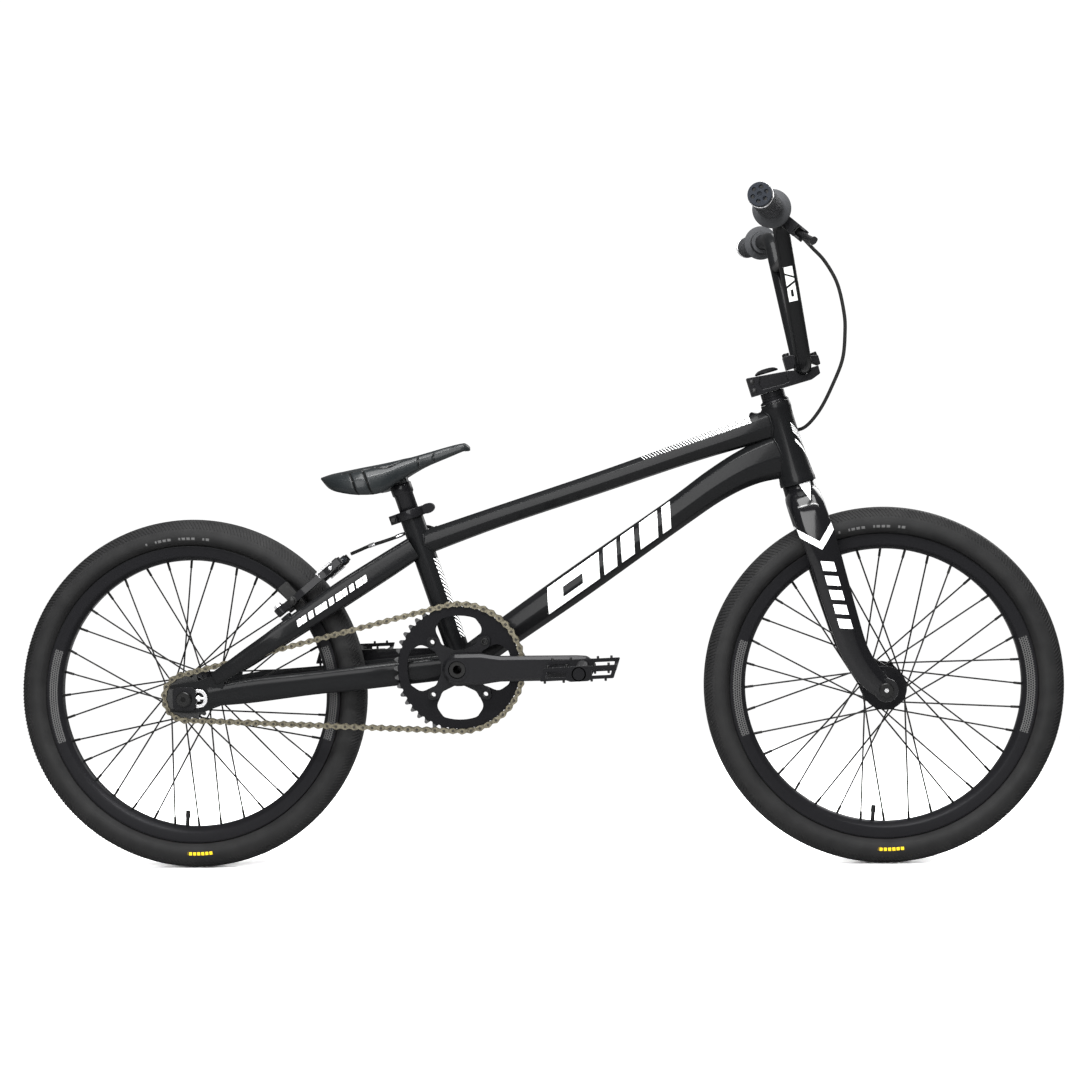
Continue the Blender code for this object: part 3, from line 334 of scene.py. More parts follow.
PAINT_BLACK = (0.0050, 0.0052, 0.0056)
satin = Finish("satin_black_paint", PAINT_BLACK, 0.30, coat=0.06)
satin.mottle(14, 0.30, 0.05, 900, 0.00003)
black_alloy = Finish("black_anodised_alloy", (0.0060, 0.0060, 0.0068), 0.34, metallic=0.3, coat=0.15)
black_alloy.mottle(60, 0.42, 0.08, 2600, 0.00004)
steel = Finish("bright_steel", (0.62, 0.62, 0.63), 0.26, metallic=1.0)
steel.mottle(90, 0.26, 0.10, 1800, 0.00003)
bolt_black = Finish("black_bolt", (0.02, 0.02, 0.02), 0.36, metallic=0.85)
bolt_black.mottle(200, 0.36, 0.10, 3000, 0.00003)
DECAL_WHITE = (0.90, 0.91, 0.91, 1)


def painted(name, drawing):
    """Satin black paint with a flat white pattern: drawing returns its mask."""
    paint = Finish(name, PAINT_BLACK, 0.30, coat=0.06)
    mask = drawing(*paint.xyz())
    paint.feed("Base Color", paint.mix(paint.colour, DECAL_WHITE, mask))
    paint.mottle(14, 0.30, 0.05, 900, 0.00003)
    return paint


def head_marks(x, y, z):
    """Two chevrons on the front of the tube, point down."""
    height = z - HEAD_FOOT.z
    slope = abs(y) * 1.6
    stripes = (height - slope).within(0.030, 0.036) + (height - slope).within(0.044, 0.062)
    hatch = (height - slope).repeat(0.004) > 0.45
    front = x + height * tan(HEAD_TILT) - HEAD_FOOT.x > 0.0125
    return stripes * front * (height < 0.085) * (hatch + (height - slope < 0.040)).math("MINIMUM", 1.0)


head_profile = [(0.0252, 0.0), (0.0252, 0.006), (0.0246, 0.0085), (0.0232, 0.022), (0.0218, 0.040),
                (0.0208, 0.060), (0.0201, 0.080), (0.0198, 0.095), (0.0200, 0.104), (0.0206, 0.108),
                (0.0206, HEAD_LENGTH - 0.001), (0.0200, HEAD_LENGTH), (0.0172, HEAD_LENGTH),
                (0.0172, 0.0)]
present("head_tube_shell", turned(head_profile, 96), painted("head_tube_paint", head_marks), "frame",
        "head_tube", frame=STEER)
spacer_profile = [(0.0202, HEAD_LENGTH + 0.0004), (0.0202, HEAD_LENGTH + 0.0022),
                  (0.0198, HEAD_LENGTH + 0.003),
                  (0.0168, HEAD_LENGTH + 0.0052), (0.0168, 0.1250), (0.0163, 0.1253), (0.0163, 0.1257),
                  (0.0168, 0.1260), (0.0168, 0.1326), (0.0164, 0.1330), (0.0146, 0.1330),
                  (0.0146, HEAD_LENGTH + 0.0004)]
present("headset_cover_and_spacers", turned(spacer_profile), black_alloy, "steering", "headset_spacers",
        frame=STEER)


# ------------------------------------------------------------------ main frame tubes
# Top and down tube are pressed aluminium with crisp edges along them and flats between.
# They are welded to the head tube, the seat tube and the bottom bracket shell, under satin paint.
def smooth_stations(stations, steps):
    """Stations of (centre, half width, half height) on a smooth curve through the given ones."""
    rows = [(Vector(centre), width, height) for centre, width, height in stations]

    def blend(values, t):
        a, b, c, d = values
        return 0.5 * (2 * b + (c - a) * t + (2 * a - 5 * b + 4 * c - d) * t ** 2
                      + (3 * b - a - 3 * c + d) * t ** 3)

    out = []
    last = len(rows) - 1
    for i in range(last):
        four = [rows[max(0, min(last, i + k))] for k in (-1, 0, 1, 2)]
        for k in range(steps):
            out.append(tuple(blend([row[n] for row in four], k / steps) for n in range(3)))
    return out + [rows[-1]]


def lofted(stations, shape, side=Vector((0, 1, 0)), steps=6):
    """A tube through its stations, its section kept square to the path."""
    rows = smooth_stations(stations, steps)
    points = [row[0] for row in rows]
    rings = []
    for i, (centre, width, height) in enumerate(rows):
        run = (points[min(i + 1, len(points) - 1)] - points[max(i - 1, 0)]).normalized()
        across = (side - run * side.dot(run)).normalized()
        up = run.cross(across)
        rings.append([centre + across * (u * width) + up * (v * height) for u, v in shape])
    return skin(rings)


TOP_TUBE_SHAPE = [(-0.45, 1.0), (-0.92, 0.55), (-1.0, -0.15), (-0.62, -0.85), (-0.22, -1.0),
                  (0.22, -1.0), (0.62, -0.85), (1.0, -0.15), (0.92, 0.55), (0.45, 1.0)]
DOWN_TUBE_SHAPE = [(-0.32, 1.0), (-0.84, 0.70), (-1.0, -0.05), (-0.74, -0.68), (-0.30, -1.0),
                   (0.30, -1.0), (0.74, -0.68), (1.0, -0.05), (0.84, 0.70), (0.32, 1.0)]
TOP_TUBE = [((-0.160, 0, 0.4575), 0.0150, 0.0172), ((-0.050, 0, 0.4945), 0.0155, 0.0150),
            ((0.100, 0, 0.5415), 0.0170, 0.0150), ((0.220, 0, 0.5805), 0.0190, 0.0162),
            ((0.300, 0, 0.6055), 0.0190, 0.0190), ((0.352, 0, 0.6220), 0.0165, 0.0215)]
DOWN_TUBE = [((-0.101, 0, 0.2870), 0.0200, 0.0205), ((-0.030, 0, 0.3365), 0.0215, 0.0215),
             ((0.070, 0, 0.4040), 0.0225, 0.0228), ((0.200, 0, 0.4925), 0.0225, 0.0215),
             ((0.262, 0, 0.5350), 0.0215, 0.0232), ((0.312, 0, 0.5610), 0.0195, 0.0270),
             ((0.362, 0, 0.5760), 0.0170, 0.0330)]
BB = Vector(joints["crank_spin"]["pos_m"])
SEAT_AXIS = Vector(joints["seat_height"]["axis"])
SEAT_TILT = atan2(-SEAT_AXIS.x, SEAT_AXIS.z)
SEAT = Matrix.Translation(BB) @ Matrix.Rotation(-SEAT_TILT, 4, "Y")
SEAT_TUBE_LENGTH = 0.232


def tube_place(x, z, start, end):
    """Distances along and across a straight line in the side view."""
    run = (Vector(end) - Vector(start)).normalized()
    along = (x - start[0]) * run.x + (z - start[1]) * run.y
    return along, (z - start[1]) * run.x - (x - start[0]) * run.y


def down_tube_marks(x, y, z):
    """Four slanted bars on each side, wide to narrow, the first two of them pierced."""
    along, across = tube_place(x, z, (0.020, 0.370), (0.250, 0.5265))
    slant = along - across * 0.62
    bars = slant.within(0.004, 0.092) + slant.within(0.100, 0.152) + slant.within(0.162, 0.192)
    bars = bars + slant.within(0.200, 0.214)
    cuts = slant.within(0.030, 0.064) * (abs(across - 0.002) < 0.0062)
    cuts = cuts + slant.within(0.122, 0.130)
    return bars * (1 - cuts) * across.within(-0.0125, 0.0190) * (abs(y) > 0.006)


def top_tube_marks(x, y, z):
    """Fine slanted hatching that thins out towards the rear, near the head tube."""
    along, across = tube_place(x, z, (0.150, 0.5590), (0.330, 0.6170))
    fade = (along / 0.170) * 0.42 + 0.30
    hatch = (along + across * 0.7).repeat(0.0042) < fade
    weave = (along - across * 1.6).repeat(0.0034) < fade + 0.10
    return hatch * weave * along.within(0.012, 0.172) * (across > 0.0085)


def seat_tube_marks(x, y, z):
    """A hatched panel on the front of the tube."""
    height = z - BB.z
    front = x + height * tan(SEAT_TILT) - BB.x > 0.0075
    hatch = (height + y * 0.9).repeat(0.0062) > 0.50
    return front * hatch * height.within(0.040, 0.152) * (abs(y) < 0.0115)


present("top_tube_shell", lofted(TOP_TUBE, softened(TOP_TUBE_SHAPE, 0.07)),
        painted("top_tube_paint", top_tube_marks), "frame", "top_tube", sharp=24)
present("down_tube_shell", lofted(DOWN_TUBE, softened(DOWN_TUBE_SHAPE, 0.07)),
        painted("down_tube_paint", down_tube_marks), "frame", "down_tube", sharp=24)
seat_profile = [(0.0165, 0.010), (0.0165, SEAT_TUBE_LENGTH - 0.014), (0.0163, SEAT_TUBE_LENGTH),
                (0.0139, SEAT_TUBE_LENGTH), (0.0139, 0.010)]
present("seat_tube_shell", turned(seat_profile), painted("seat_tube_paint", seat_tube_marks), "frame",
        "seat_tube", frame=SEAT)


def side_frame(point):
    """Local x forward, local y up, local z out towards the chain side."""
    return Matrix.Translation(point) @ Matrix.Rotation(pi / 2, 4, "X")


CRANK = side_frame(BB)
shell_profile = [(0.0222, -0.0335), (0.0222, 0.0335), (0.0217, 0.034), (0.0172, 0.034), (0.0172, -0.034),
                 (0.0217, -0.034)]
present("bottom_bracket_shell", turned(shell_profile), satin, "frame", "bb_shell", frame=CRANK)

weld = Finish("painted_weld", PAINT_BLACK, 0.32, coat=0.06)
weld.bump(weld.noise(420, 2.0), 0.0004, 0.6)


def bead(path, radius, into=None):
    """A closed bead of weld along a loop of points."""
    rings = []
    count = len(path)
    for i, point in enumerate(path):
        run = (path[(i + 1) % count] - path[i - 1]).normalized()
        across = run.orthogonal().normalized() if i == 0 else (across - run * across.dot(run)).normalized()
        up = run.cross(across)
        thick = radius * (1 + 0.10 * sin(i * 2.4))
        rings.append([point + across * (thick * cos(a)) + up * (thick * sin(a))
                      for a in (2 * pi * k / 8 for k in range(8))])
    return skin(rings, loop=True, into=into)


def tube_round_post(stations, shape, origin, axis, radius, at_start):
    """Where a tube's skin meets a round post: the loop that a weld follows."""
    rows = smooth_stations(stations, 24)
    rows = rows if at_start else rows[::-1]
    loop = []
    for u, v in softened(shape, 0.16, 2):
        last = None
        for i in range(len(rows) - 1):
            centre, width, height = rows[i]
            run = (rows[i + 1][0] - centre).normalized() * (1 if at_start else -1)
            across = Vector((0, 1, 0))
            point = centre + across * (u * width) + run.cross(across) * (v * height)
            off = point - origin
            if (off - axis * off.dot(axis)).length > radius:
                break
            last = point
        loop.append(last or point)
    return loop


head_axis = STEER.to_3x3() @ Vector((0, 0, 1))
beads = bmesh.new()
for stations, shape in ((TOP_TUBE, TOP_TUBE_SHAPE), (DOWN_TUBE, DOWN_TUBE_SHAPE)):
    bead(tube_round_post(stations, shape, HEAD_FOOT, head_axis, 0.0215, False), 0.0019, beads)
bead(tube_round_post(TOP_TUBE, TOP_TUBE_SHAPE, BB, SEAT_AXIS, 0.0168, True), 0.0018, beads)
bead(tube_round_post(DOWN_TUBE, DOWN_TUBE_SHAPE, BB, Vector((0, 1, 0)), 0.0228, True), 0.0019, beads)
present("weld_beads", beads, weld, "frame", sharp=60)


# ------------------------------------------------------------------ rear triangle
# Flattened stays run back to slotted dropout plates; a bridge joins the chainstays.
# The seat stays carry the brake bosses and a row of small pale dashes.
STAY_SHAPE = [(-0.55, 1.0), (-1.0, 0.60), (-1.0, -0.60), (-0.55, -1.0),
              (0.55, -1.0), (1.0, -0.60), (1.0, 0.60), (0.55, 1.0)]
CHAINSTAY = [((-0.454, 0.0583, 0.2522), 0.0055, 0.0135), ((-0.397, 0.0500, 0.2590), 0.0075, 0.0172),
             ((-0.312, 0.0405, 0.2672), 0.0080, 0.0162), ((-0.240, 0.0372, 0.2740), 0.0080, 0.0168),
             ((-0.188, 0.0288, 0.2787), 0.0085, 0.0170), ((-0.110, 0.0240, 0.2860), 0.0085, 0.0170)]
SEATSTAY = [((-0.4445, 0.0590, 0.2775), 0.0052, 0.0095), ((-0.420, 0.0590, 0.2927), 0.0056, 0.0110),
            ((-0.396, 0.0580, 0.3084), 0.0060, 0.0120), ((-0.368, 0.0578, 0.3264), 0.0060, 0.0130),
            ((-0.350, 0.0540, 0.3382), 0.0065, 0.0140), ((-0.320, 0.0445, 0.3576), 0.0068, 0.0153),
            ((-0.300, 0.0400, 0.3705), 0.0070, 0.0160), ((-0.260, 0.0325, 0.3964), 0.0070, 0.0172),
            ((-0.210, 0.0225, 0.4270), 0.0075, 0.0170), ((-0.166, 0.0150, 0.4540), 0.0080, 0.0160)]
REAR_AXLE = Vector(joints["rear_wheel_spin"]["pos_m"])
REAR = side_frame(REAR_AXLE)
DROPOUT_Y = 0.0553


def stay_marks(x, y, z):
    """Dashes of uneven length in one line along the stay."""
    along, across = tube_place(x, z, (-0.330, 0.3505), (-0.210, 0.4270))
    slant = along - across * 0.4
    dashes = (slant.repeat(0.0112) < 0.66) + (slant.repeat(0.0336) < 0.30)
    return dashes.math("MINIMUM", 1.0) * slant.within(0.004, 0.118) * (abs(across) < 0.0044)


stay_paint = painted("seat_stay_paint", stay_marks)


def sided(stations, sign):
    return [((x, sign * y, z), width, height) for (x, y, z), width, height in stations]


def plate(outline, z0, z1, holes=()):
    """A flat outline with holes, given a thickness."""
    bm = bmesh.new()
    edges = []
    for line in (outline, *holes):
        verts = [bm.verts.new((x, y, z0)) for x, y in line]
        for a, b in zip(verts, verts[1:] + verts[:1]):
            edges.append(bm.edges.new((a, b)))
    bmesh.ops.triangle_fill(bm, use_beauty=True, use_dissolve=True, edges=edges)
    grown = bmesh.ops.extrude_face_region(bm, geom=bm.faces[:])
    moved = [g for g in grown["geom"] if isinstance(g, bmesh.types.BMVert)]
    bmesh.ops.translate(bm, verts=moved, vec=(0, 0, z1 - z0))
    return bm


def ring_line(x, y, radius, steps=24):
    return arc(x, y, radius, 0, 360 - 360 / steps, steps - 1)


def outwards(sign, near, far):
    """The (low, high) of a stretch between two distances out from the middle plane."""
    return sorted((sign * near, sign * far))


def in_frame(bm, frame):
    bm.transform(frame)
    return bm


def merged(*parts):
    """Puts several bmeshes into one."""
    whole = bmesh.new()
    for part in parts:
        spare = bpy.data.meshes.new("spare")
        part.to_mesh(spare)
        part.free()
        whole.from_mesh(spare)
        bpy.data.meshes.remove(spare)
    return whole


DROPOUT = [(-0.0215, 0.0142), (0.0190, 0.0142), *arc(0.0190, 0, 0.0142, 75, -75, 12), (0.0190, -0.0142),
           (-0.0215, -0.0142), (-0.0215, -0.0185), (0.0020, -0.0205), (0.0260, -0.0190), (0.0500, -0.0110),
           (0.0570, 0.0230), (0.0490, 0.0345), (0.0230, 0.0255), (-0.0215, 0.0190)]
for side, sign in (("right", -1), ("left", 1)):
    present("chainstay_shell_" + side, lofted(sided(CHAINSTAY, sign), softened(STAY_SHAPE, 0.3)), satin,
            "frame", "chainstay_" + side, sharp=50)
    present("seatstay_shell_" + side, lofted(sided(SEATSTAY, sign), softened(STAY_SHAPE, 0.3)), stay_paint,
            "frame", "seatstay_" + side, sharp=50)
    low, high = outwards(-sign, DROPOUT_Y, DROPOUT_Y + 0.006)
    present("dropout_plate_" + side, plate(DROPOUT, low, high), satin, "frame", "dropout_" + side,
            frame=REAR, bevel=0.0006)
for finish, shown in ((satin, ("stay_bridge",)), (black_alloy, ("bb_cup_right", "bb_cup_left")),
                      (steel, ("headset_bearing_lower", "headset_bearing_upper"))):
    for name in shown:
        for slot in frame["nodes"][name].material_slots:
            slot.material = finish.material

# ------------------------------------------------------------------ rear axle, carriers and tensioners
# Square black carriers hold the hollow axle in the slots; a screw in front of each sets the chain's tension.
# Each axle end is a hex-socket bolt with a chamfered head.
octagon = softened([(-0.0120, -0.0165), (0.0120, -0.0165), (0.0165, -0.0120), (0.0165, 0.0120),
                    (0.0120, 0.0165), (-0.0120, 0.0165), (-0.0165, 0.0120), (-0.0165, -0.0120)], 0.002)
hexagon = [(0.0040 * cos(radians(60 * k)), 0.0040 * sin(radians(60 * k))) for k in range(6)]
for side, sign in (("right", 1), ("left", -1)):
    low = DROPOUT_Y
    foot = plate([(-0.0140, -0.0136), (0.0145, -0.0136), (0.0145, 0.0136), (-0.0140, 0.0136)],
                 *outwards(sign, low, low + 0.0068))
    face = plate(octagon, *outwards(sign, low + 0.0063, low + 0.0093), [ring_line(0, 0, 0.0062)])
    present("axle_carrier_" + side, merged(foot, face), black_alloy, "frame", "axle_block_" + side,
            frame=REAR, bevel=0.0005)
    screw = rod([(0.0150, 0.0022), (0.0300, 0.0022)], 16)
    screw = in_frame(screw, Matrix.Translation((0, 0, sign * (low + 0.0035)))
                     @ Matrix.Rotation(pi / 2, 4, "Y"))
    loop = softened([(0.0150, -0.0138), (0.0265, -0.0118), (0.0315, -0.0060), (0.0325, 0.0),
                     (0.0315, 0.0060), (0.0265, 0.0118), (0.0150, 0.0138)], 0.003)
    opening = softened([(0.0165, -0.0088), (0.0235, -0.0080), (0.0268, -0.0040), (0.0268, 0.0040),
                        (0.0235, 0.0080), (0.0165, 0.0088)], 0.002)
    hoop = plate(loop, *outwards(sign, low + 0.0020, low + 0.0064), [opening])
    nut = in_frame(rod([(0.0180, 0.0046), (0.0222, 0.0046)], 6),
                   Matrix.Translation((0, 0, sign * (low + 0.0040))) @ Matrix.Rotation(pi / 2, 4, "Y"))
    present("chain_tensioner_" + side, merged(screw, hoop, nut), steel, "frame", frame=REAR, bevel=0.0004)

head = DROPOUT_Y + 0.0096
bolt_end = [(head, 0.0098), (head + 0.0006, 0.0105), (head + 0.0048, 0.0105), (head + 0.0060, 0.0093)]
shaft = rod([(-head, 0.0050), (head, 0.0050)], 24)
ends = [in_frame(rod(bolt_end, 40), Matrix.Rotation(turn, 4, "X")) for turn in (0, pi)]
present("rear_axle_bolt", merged(shaft, *ends), bolt_black, "frame", "rear_axle", frame=REAR)
# A flat near-black hexagon on each bolt head stands in for the shade inside the hex socket: painted shade,
# not a hole.
socket_painted_shade = Finish("socket_shadow", (0.004, 0.004, 0.004), 0.6)
socket_painted_shade.mottle(300, 0.6, 0.1, 3000, 0.00003)
for side, sign in (("right", 1), ("left", -1)):
    socket = plate(hexagon, *outwards(sign, head + 0.0052, head + 0.0061))
    present("axle_socket_" + side, socket, socket_painted_shade, "frame", frame=REAR)


# ------------------------------------------------------------------ seat clamp, post and saddle
# A double-eared clamp pinches a black post; the saddle is one moulded shell on a small tilt bracket.
# Slanted channels cross the saddle's flanks and a raised seam runs round its rim.
CLAMP_FOOT = SEAT_TUBE_LENGTH - 0.013
CLAMP_TOP = SEAT_TUBE_LENGTH
POST_TOP = 0.2700
clamp_ring = turned([(0.0202, CLAMP_FOOT), (0.0205, CLAMP_FOOT + 0.001), (0.0205, CLAMP_TOP - 0.001),
                     (0.0202, CLAMP_TOP), (0.0168, CLAMP_TOP), (0.0168, CLAMP_FOOT)])
ears = [plate(softened([(-0.0300, y - 0.0035), (-0.0185, y - 0.0035), (-0.0185, y + 0.0035),
                        (-0.0300, y + 0.0035)], 0.002), CLAMP_FOOT, CLAMP_TOP) for y in (-0.0048, 0.0048)]
nose_line = [(0.0262 + 0.0100 * cos(a), CLAMP_TOP - 0.0066 + 0.0072 * sin(a)) for a in
             (2 * pi * k / 32 for k in range(32))]
nose = in_frame(plate(nose_line, -0.0068, 0.0068), Matrix.Rotation(pi / 2, 4, "X"))
present("seat_clamp_collar", merged(clamp_ring, *ears, nose), black_alloy, "frame", "seat_clamp",
        frame=SEAT, bevel=0.0008)
clamp_bolt = rod([(-0.0105, 0.0030), (-0.0100, 0.0036), (0.0100, 0.0036), (0.0105, 0.0030)], 24)
present("seat_clamp_bolt", clamp_bolt, bolt_black, "frame",
        frame=SEAT @ Matrix.Translation((-0.0250, 0, CLAMP_TOP - 0.0065)) @ Matrix.Rotation(pi / 2, 4, "X"))

post_profile = [(0.122, 0.0130), (0.124, 0.0136), (POST_TOP - 0.016, 0.0136), (POST_TOP - 0.0145, 0.0146),
                (POST_TOP - 0.0130, 0.0155), (POST_TOP - 0.001, 0.0155), (POST_TOP, 0.0148)]
present("seat_post_tube", rod(post_profile, 64), black_alloy, "seat", "seat_post", frame=SEAT)

SADDLE = [((-0.294, 0.5562, 0.5530), 0.022), ((-0.280, 0.5605, 0.5400), 0.038),
          ((-0.262, 0.5640, 0.5340), 0.049), ((-0.235, 0.5690, 0.5305), 0.053),
          ((-0.205, 0.5742, 0.5330), 0.046), ((-0.180, 0.5795, 0.5500), 0.033),
          ((-0.150, 0.5870, 0.5665), 0.022), ((-0.115, 0.5962, 0.5805), 0.0165),
          ((-0.095, 0.6003, 0.5882), 0.0150), ((-0.0885, 0.5985, 0.5884), 0.0125),
          ((-0.0845, 0.5950, 0.5895), 0.0080)]
skin_grey = Finish("saddle_skin", (0.0070, 0.0085, 0.0092), 0.36, specular=0.14, coat=0.10)
panel = skin_grey.noise(9, 2.0) * 0.4 + 0.8
grey = skin_grey.node("ShaderNodeVectorMath", {"operation": "SCALE"},
                      {0: skin_grey.colour[:3], "Scale": panel})
# The grooves are darkened in the base colour by their depth: painted shade in the moulded channels.
groove_painted_shade = skin_grey.node("ShaderNodeAttribute", {"attribute_name": "sunk"}, output=2)
skin_grey.feed("Base Color", skin_grey.mix(grey, (0.004, 0.004, 0.004, 1),
                                           (groove_painted_shade * 900).math("MINIMUM", 1.0)))
grain = skin_grey.node("ShaderNodeTexVoronoi", inputs={"Vector": skin_grey.place(), "Scale": 900})
skin_grey.feed("Roughness", skin_grey.noise(60) * 0.2 + 0.27)
skin_grey.bump(grain, 0.0002, 0.5)


def dip(distance, width):
    """1 at the middle of a moulded groove, falling to 0 at its edges."""
    return 0.5 * (1 + cos(pi * distance / width)) if abs(distance) < width else 0.0


def saddle_groove(x, lean):
    """How deep the moulded lines sink the shell; lean is 0 on the crown and 1 under the edge."""
    depth = 0.0
    if 0.37 < lean < 0.90:
        for top_end, slant in ((-0.2500, 0.026), (-0.2318, 0.030)):
            depth = max(depth, 0.0024 * dip(x - top_end - (lean - 0.37) * slant, 0.0017))
    if -0.262 < x < -0.213:
        depth = max(depth, 0.0018 * dip(lean - 0.37 + (x + 0.262) * 1.2, 0.030))
    if -0.213 < x < -0.166:
        t = (x + 0.213) / 0.047
        depth = max(depth, 0.0022 * dip(lean - 0.33 - 0.10 * sin(pi * t) + 0.30 * t ** 4, 0.040))
    for middle in (-0.1560, -0.1350):
        if 0.34 < lean < 0.80:
            depth = max(depth, 0.0014 * dip(x - middle - (lean - 0.5) * 0.006, 0.0013))
    if -0.178 < x < -0.092:
        ends = min(1.0, (x + 0.178) / 0.020, (-0.092 - x) / 0.008)
        depth = max(depth, 0.0016 * ends * min(1.0, max(0.0, (0.26 - lean) / 0.06)))
    return depth


def saddle_point(x, top, foot, half, turn):
    """A point of the shell's section; turn runs from the crown over each flank to the base."""
    depth = top - foot
    lean = abs(turn)
    if lean < 0.72:
        reach = sin(lean / 0.72 * pi / 2) ** 0.82
        drop = (1 - cos(lean / 0.72 * pi / 2)) ** 1.5
        y, z = reach * half, top - drop * 0.74 * depth
    elif lean < 0.88:
        fall = (lean - 0.72) / 0.16
        y, z = half * (1 - 0.10 * fall ** 2), top - (0.74 + 0.26 * fall) * depth
    else:
        tuck = (lean - 0.88) / 0.12
        y, z = half * (0.90 - 0.50 * tuck), foot + 0.30 * depth * tuck
    sunk = saddle_groove(x, lean)
    y -= sunk * min(1.0, lean * 1.4)
    z -= sunk * max(0.0, 1.0 - lean)
    return (x, y if turn > 0 else -y, z)


def make_saddle():
    """The shell, with the depth of its grooves kept as an attribute that paints shade into them, and the tilt
    bracket below it.
    """
    stations = [((x, top, foot), half, 0.0) for (x, top, foot), half in SADDLE]
    turns = [-0.999 + 1.998 * k / 110 for k in range(111)]
    rows = smooth_stations(stations, 26)
    shell = skin([[saddle_point(*shape, half, turn) for turn in turns] for shape, half, _ in rows])
    sunk = shell.verts.layers.float.new("sunk")
    shell.verts.ensure_lookup_table()
    depths = (saddle_groove(shape[0], abs(turn)) for shape, _, _ in rows for turn in turns)
    for vert, depth in zip(shell.verts, depths):
        vert[sunk] = depth
    bracket = plate(softened([(-0.0125, -0.0110), (0.0125, -0.0110), (0.0125, 0.0110), (-0.0125, 0.0110)],
                             0.003), POST_TOP + GAP, POST_TOP + 0.018)
    return merged(shell, in_frame(bracket, SEAT))


present("saddle_shell", make_saddle(), skin_grey, "seat", "saddle", sharp=55)
tilt_bolt = rod([(-0.0150, 0.0036), (-0.0145, 0.0044), (0.0145, 0.0044), (0.0150, 0.0036)], 24)
present("saddle_tilt_bolt", tilt_bolt, bolt_black, "seat",
        frame=SEAT @ Matrix.Translation((0, 0, POST_TOP + 0.0075)) @ Matrix.Rotation(pi / 2, 4, "X"))


# ------------------------------------------------------------------ tyres and rims
# Low race tyres: a fine ribbed shoulder either side of a centre groove, on deep black rims.
# Patches of small pale dots are printed on the rims and a short yellow bar on each tyre.
FRONT_AXLE = Vector(joints["front_wheel_spin"]["pos_m"])
FRONT = side_frame(FRONT_AXLE)
RIM_FOOT = 0.1913
TYRE_PROFILE = [(0.2040, 0.0110), (0.2130, 0.0110), (0.2146, 0.0140), (0.2165, 0.0180), (0.2195, 0.0220),
                (0.2232, 0.0240), (0.2272, 0.0245), (0.2320, 0.0235), (0.2365, 0.0214), (0.2405, 0.0190),
                (0.2440, 0.0155), (0.2468, 0.0115), (0.2487, 0.0070), (0.2494, 0.0030), (0.2486, 0.0014),
                (0.2484, 0.0000)]


def wheel_place(finish, axle):
    """Distance from the axle, angle round it, and distance off the wheel's plane."""
    x, y, z = finish.xyz()
    dx, dz = x - axle.x, z - axle.z
    radius = (dx * dx + dz * dz).math("SQRT")
    return radius, dz.math("ARCTAN2", dx), abs(y)


def tyre_rubber(name, axle):
    rubber = Finish(name, (0.0090, 0.0090, 0.0094), 0.55)
    radius, angle, off = wheel_place(rubber, axle)
    label = radius.within(0.2245, 0.2290) * angle.within(-1.62, -1.46) * (angle.repeat(0.026) < 0.72)
    small = radius.within(0.2215, 0.2250) * angle.within(1.42, 1.84) * (angle.repeat(0.031) < 0.7)
    small = small * ((angle * 41.0).math("SINE") > -0.55)
    dusty = rubber.mix(rubber.colour, (0.020, 0.020, 0.020, 1), rubber.noise(35))
    dusty = rubber.mix(dusty, (0.10, 0.10, 0.10, 1), small)
    rubber.feed("Base Color", rubber.mix(dusty, (0.75, 0.52, 0.02, 1), label))
    weave = ((angle * 0.24 + off * 0.8).repeat(0.0024) - 0.5).math("ABSOLUTE")
    ring = (radius.repeat(0.0022) - 0.5).math("ABSOLUTE")
    shoulder = radius.within(0.2330, 0.2475)
    wall = radius.within(0.2180, 0.2215)
    height = weave * shoulder + ring * wall * 0.5 + rubber.noise(500, 2.0) * 0.3
    rubber.feed("Roughness", rubber.noise(40) * 0.18 + 0.52)
    rubber.bump(height, 0.0006, 0.7)
    return rubber


def rim_alloy(name, axle):
    alloy = Finish(name, (0.008, 0.008, 0.009), 0.36, metallic=0.2)
    radius, angle, off = wheel_place(alloy, axle)
    row = radius / 0.0030
    column = (angle * (0.203 / 0.0034) + row.math("FLOOR") * 0.5).repeat(1) - 0.5
    step = row.repeat(1) - 0.5
    sector = (abs(angle.math("COSINE")) > 0.945) * radius.within(0.1968, 0.2088)
    pale = (column * column + step * step > 0.13) * sector * (off > 0.007)
    alloy.feed("Base Color", alloy.mix(alloy.colour, (0.075, 0.075, 0.075, 1), pale))
    alloy.feed("Roughness", alloy.noise(25) * 0.14 + 0.31)
    alloy.bump(alloy.noise(1500, 2.0), 0.00003)
    return alloy


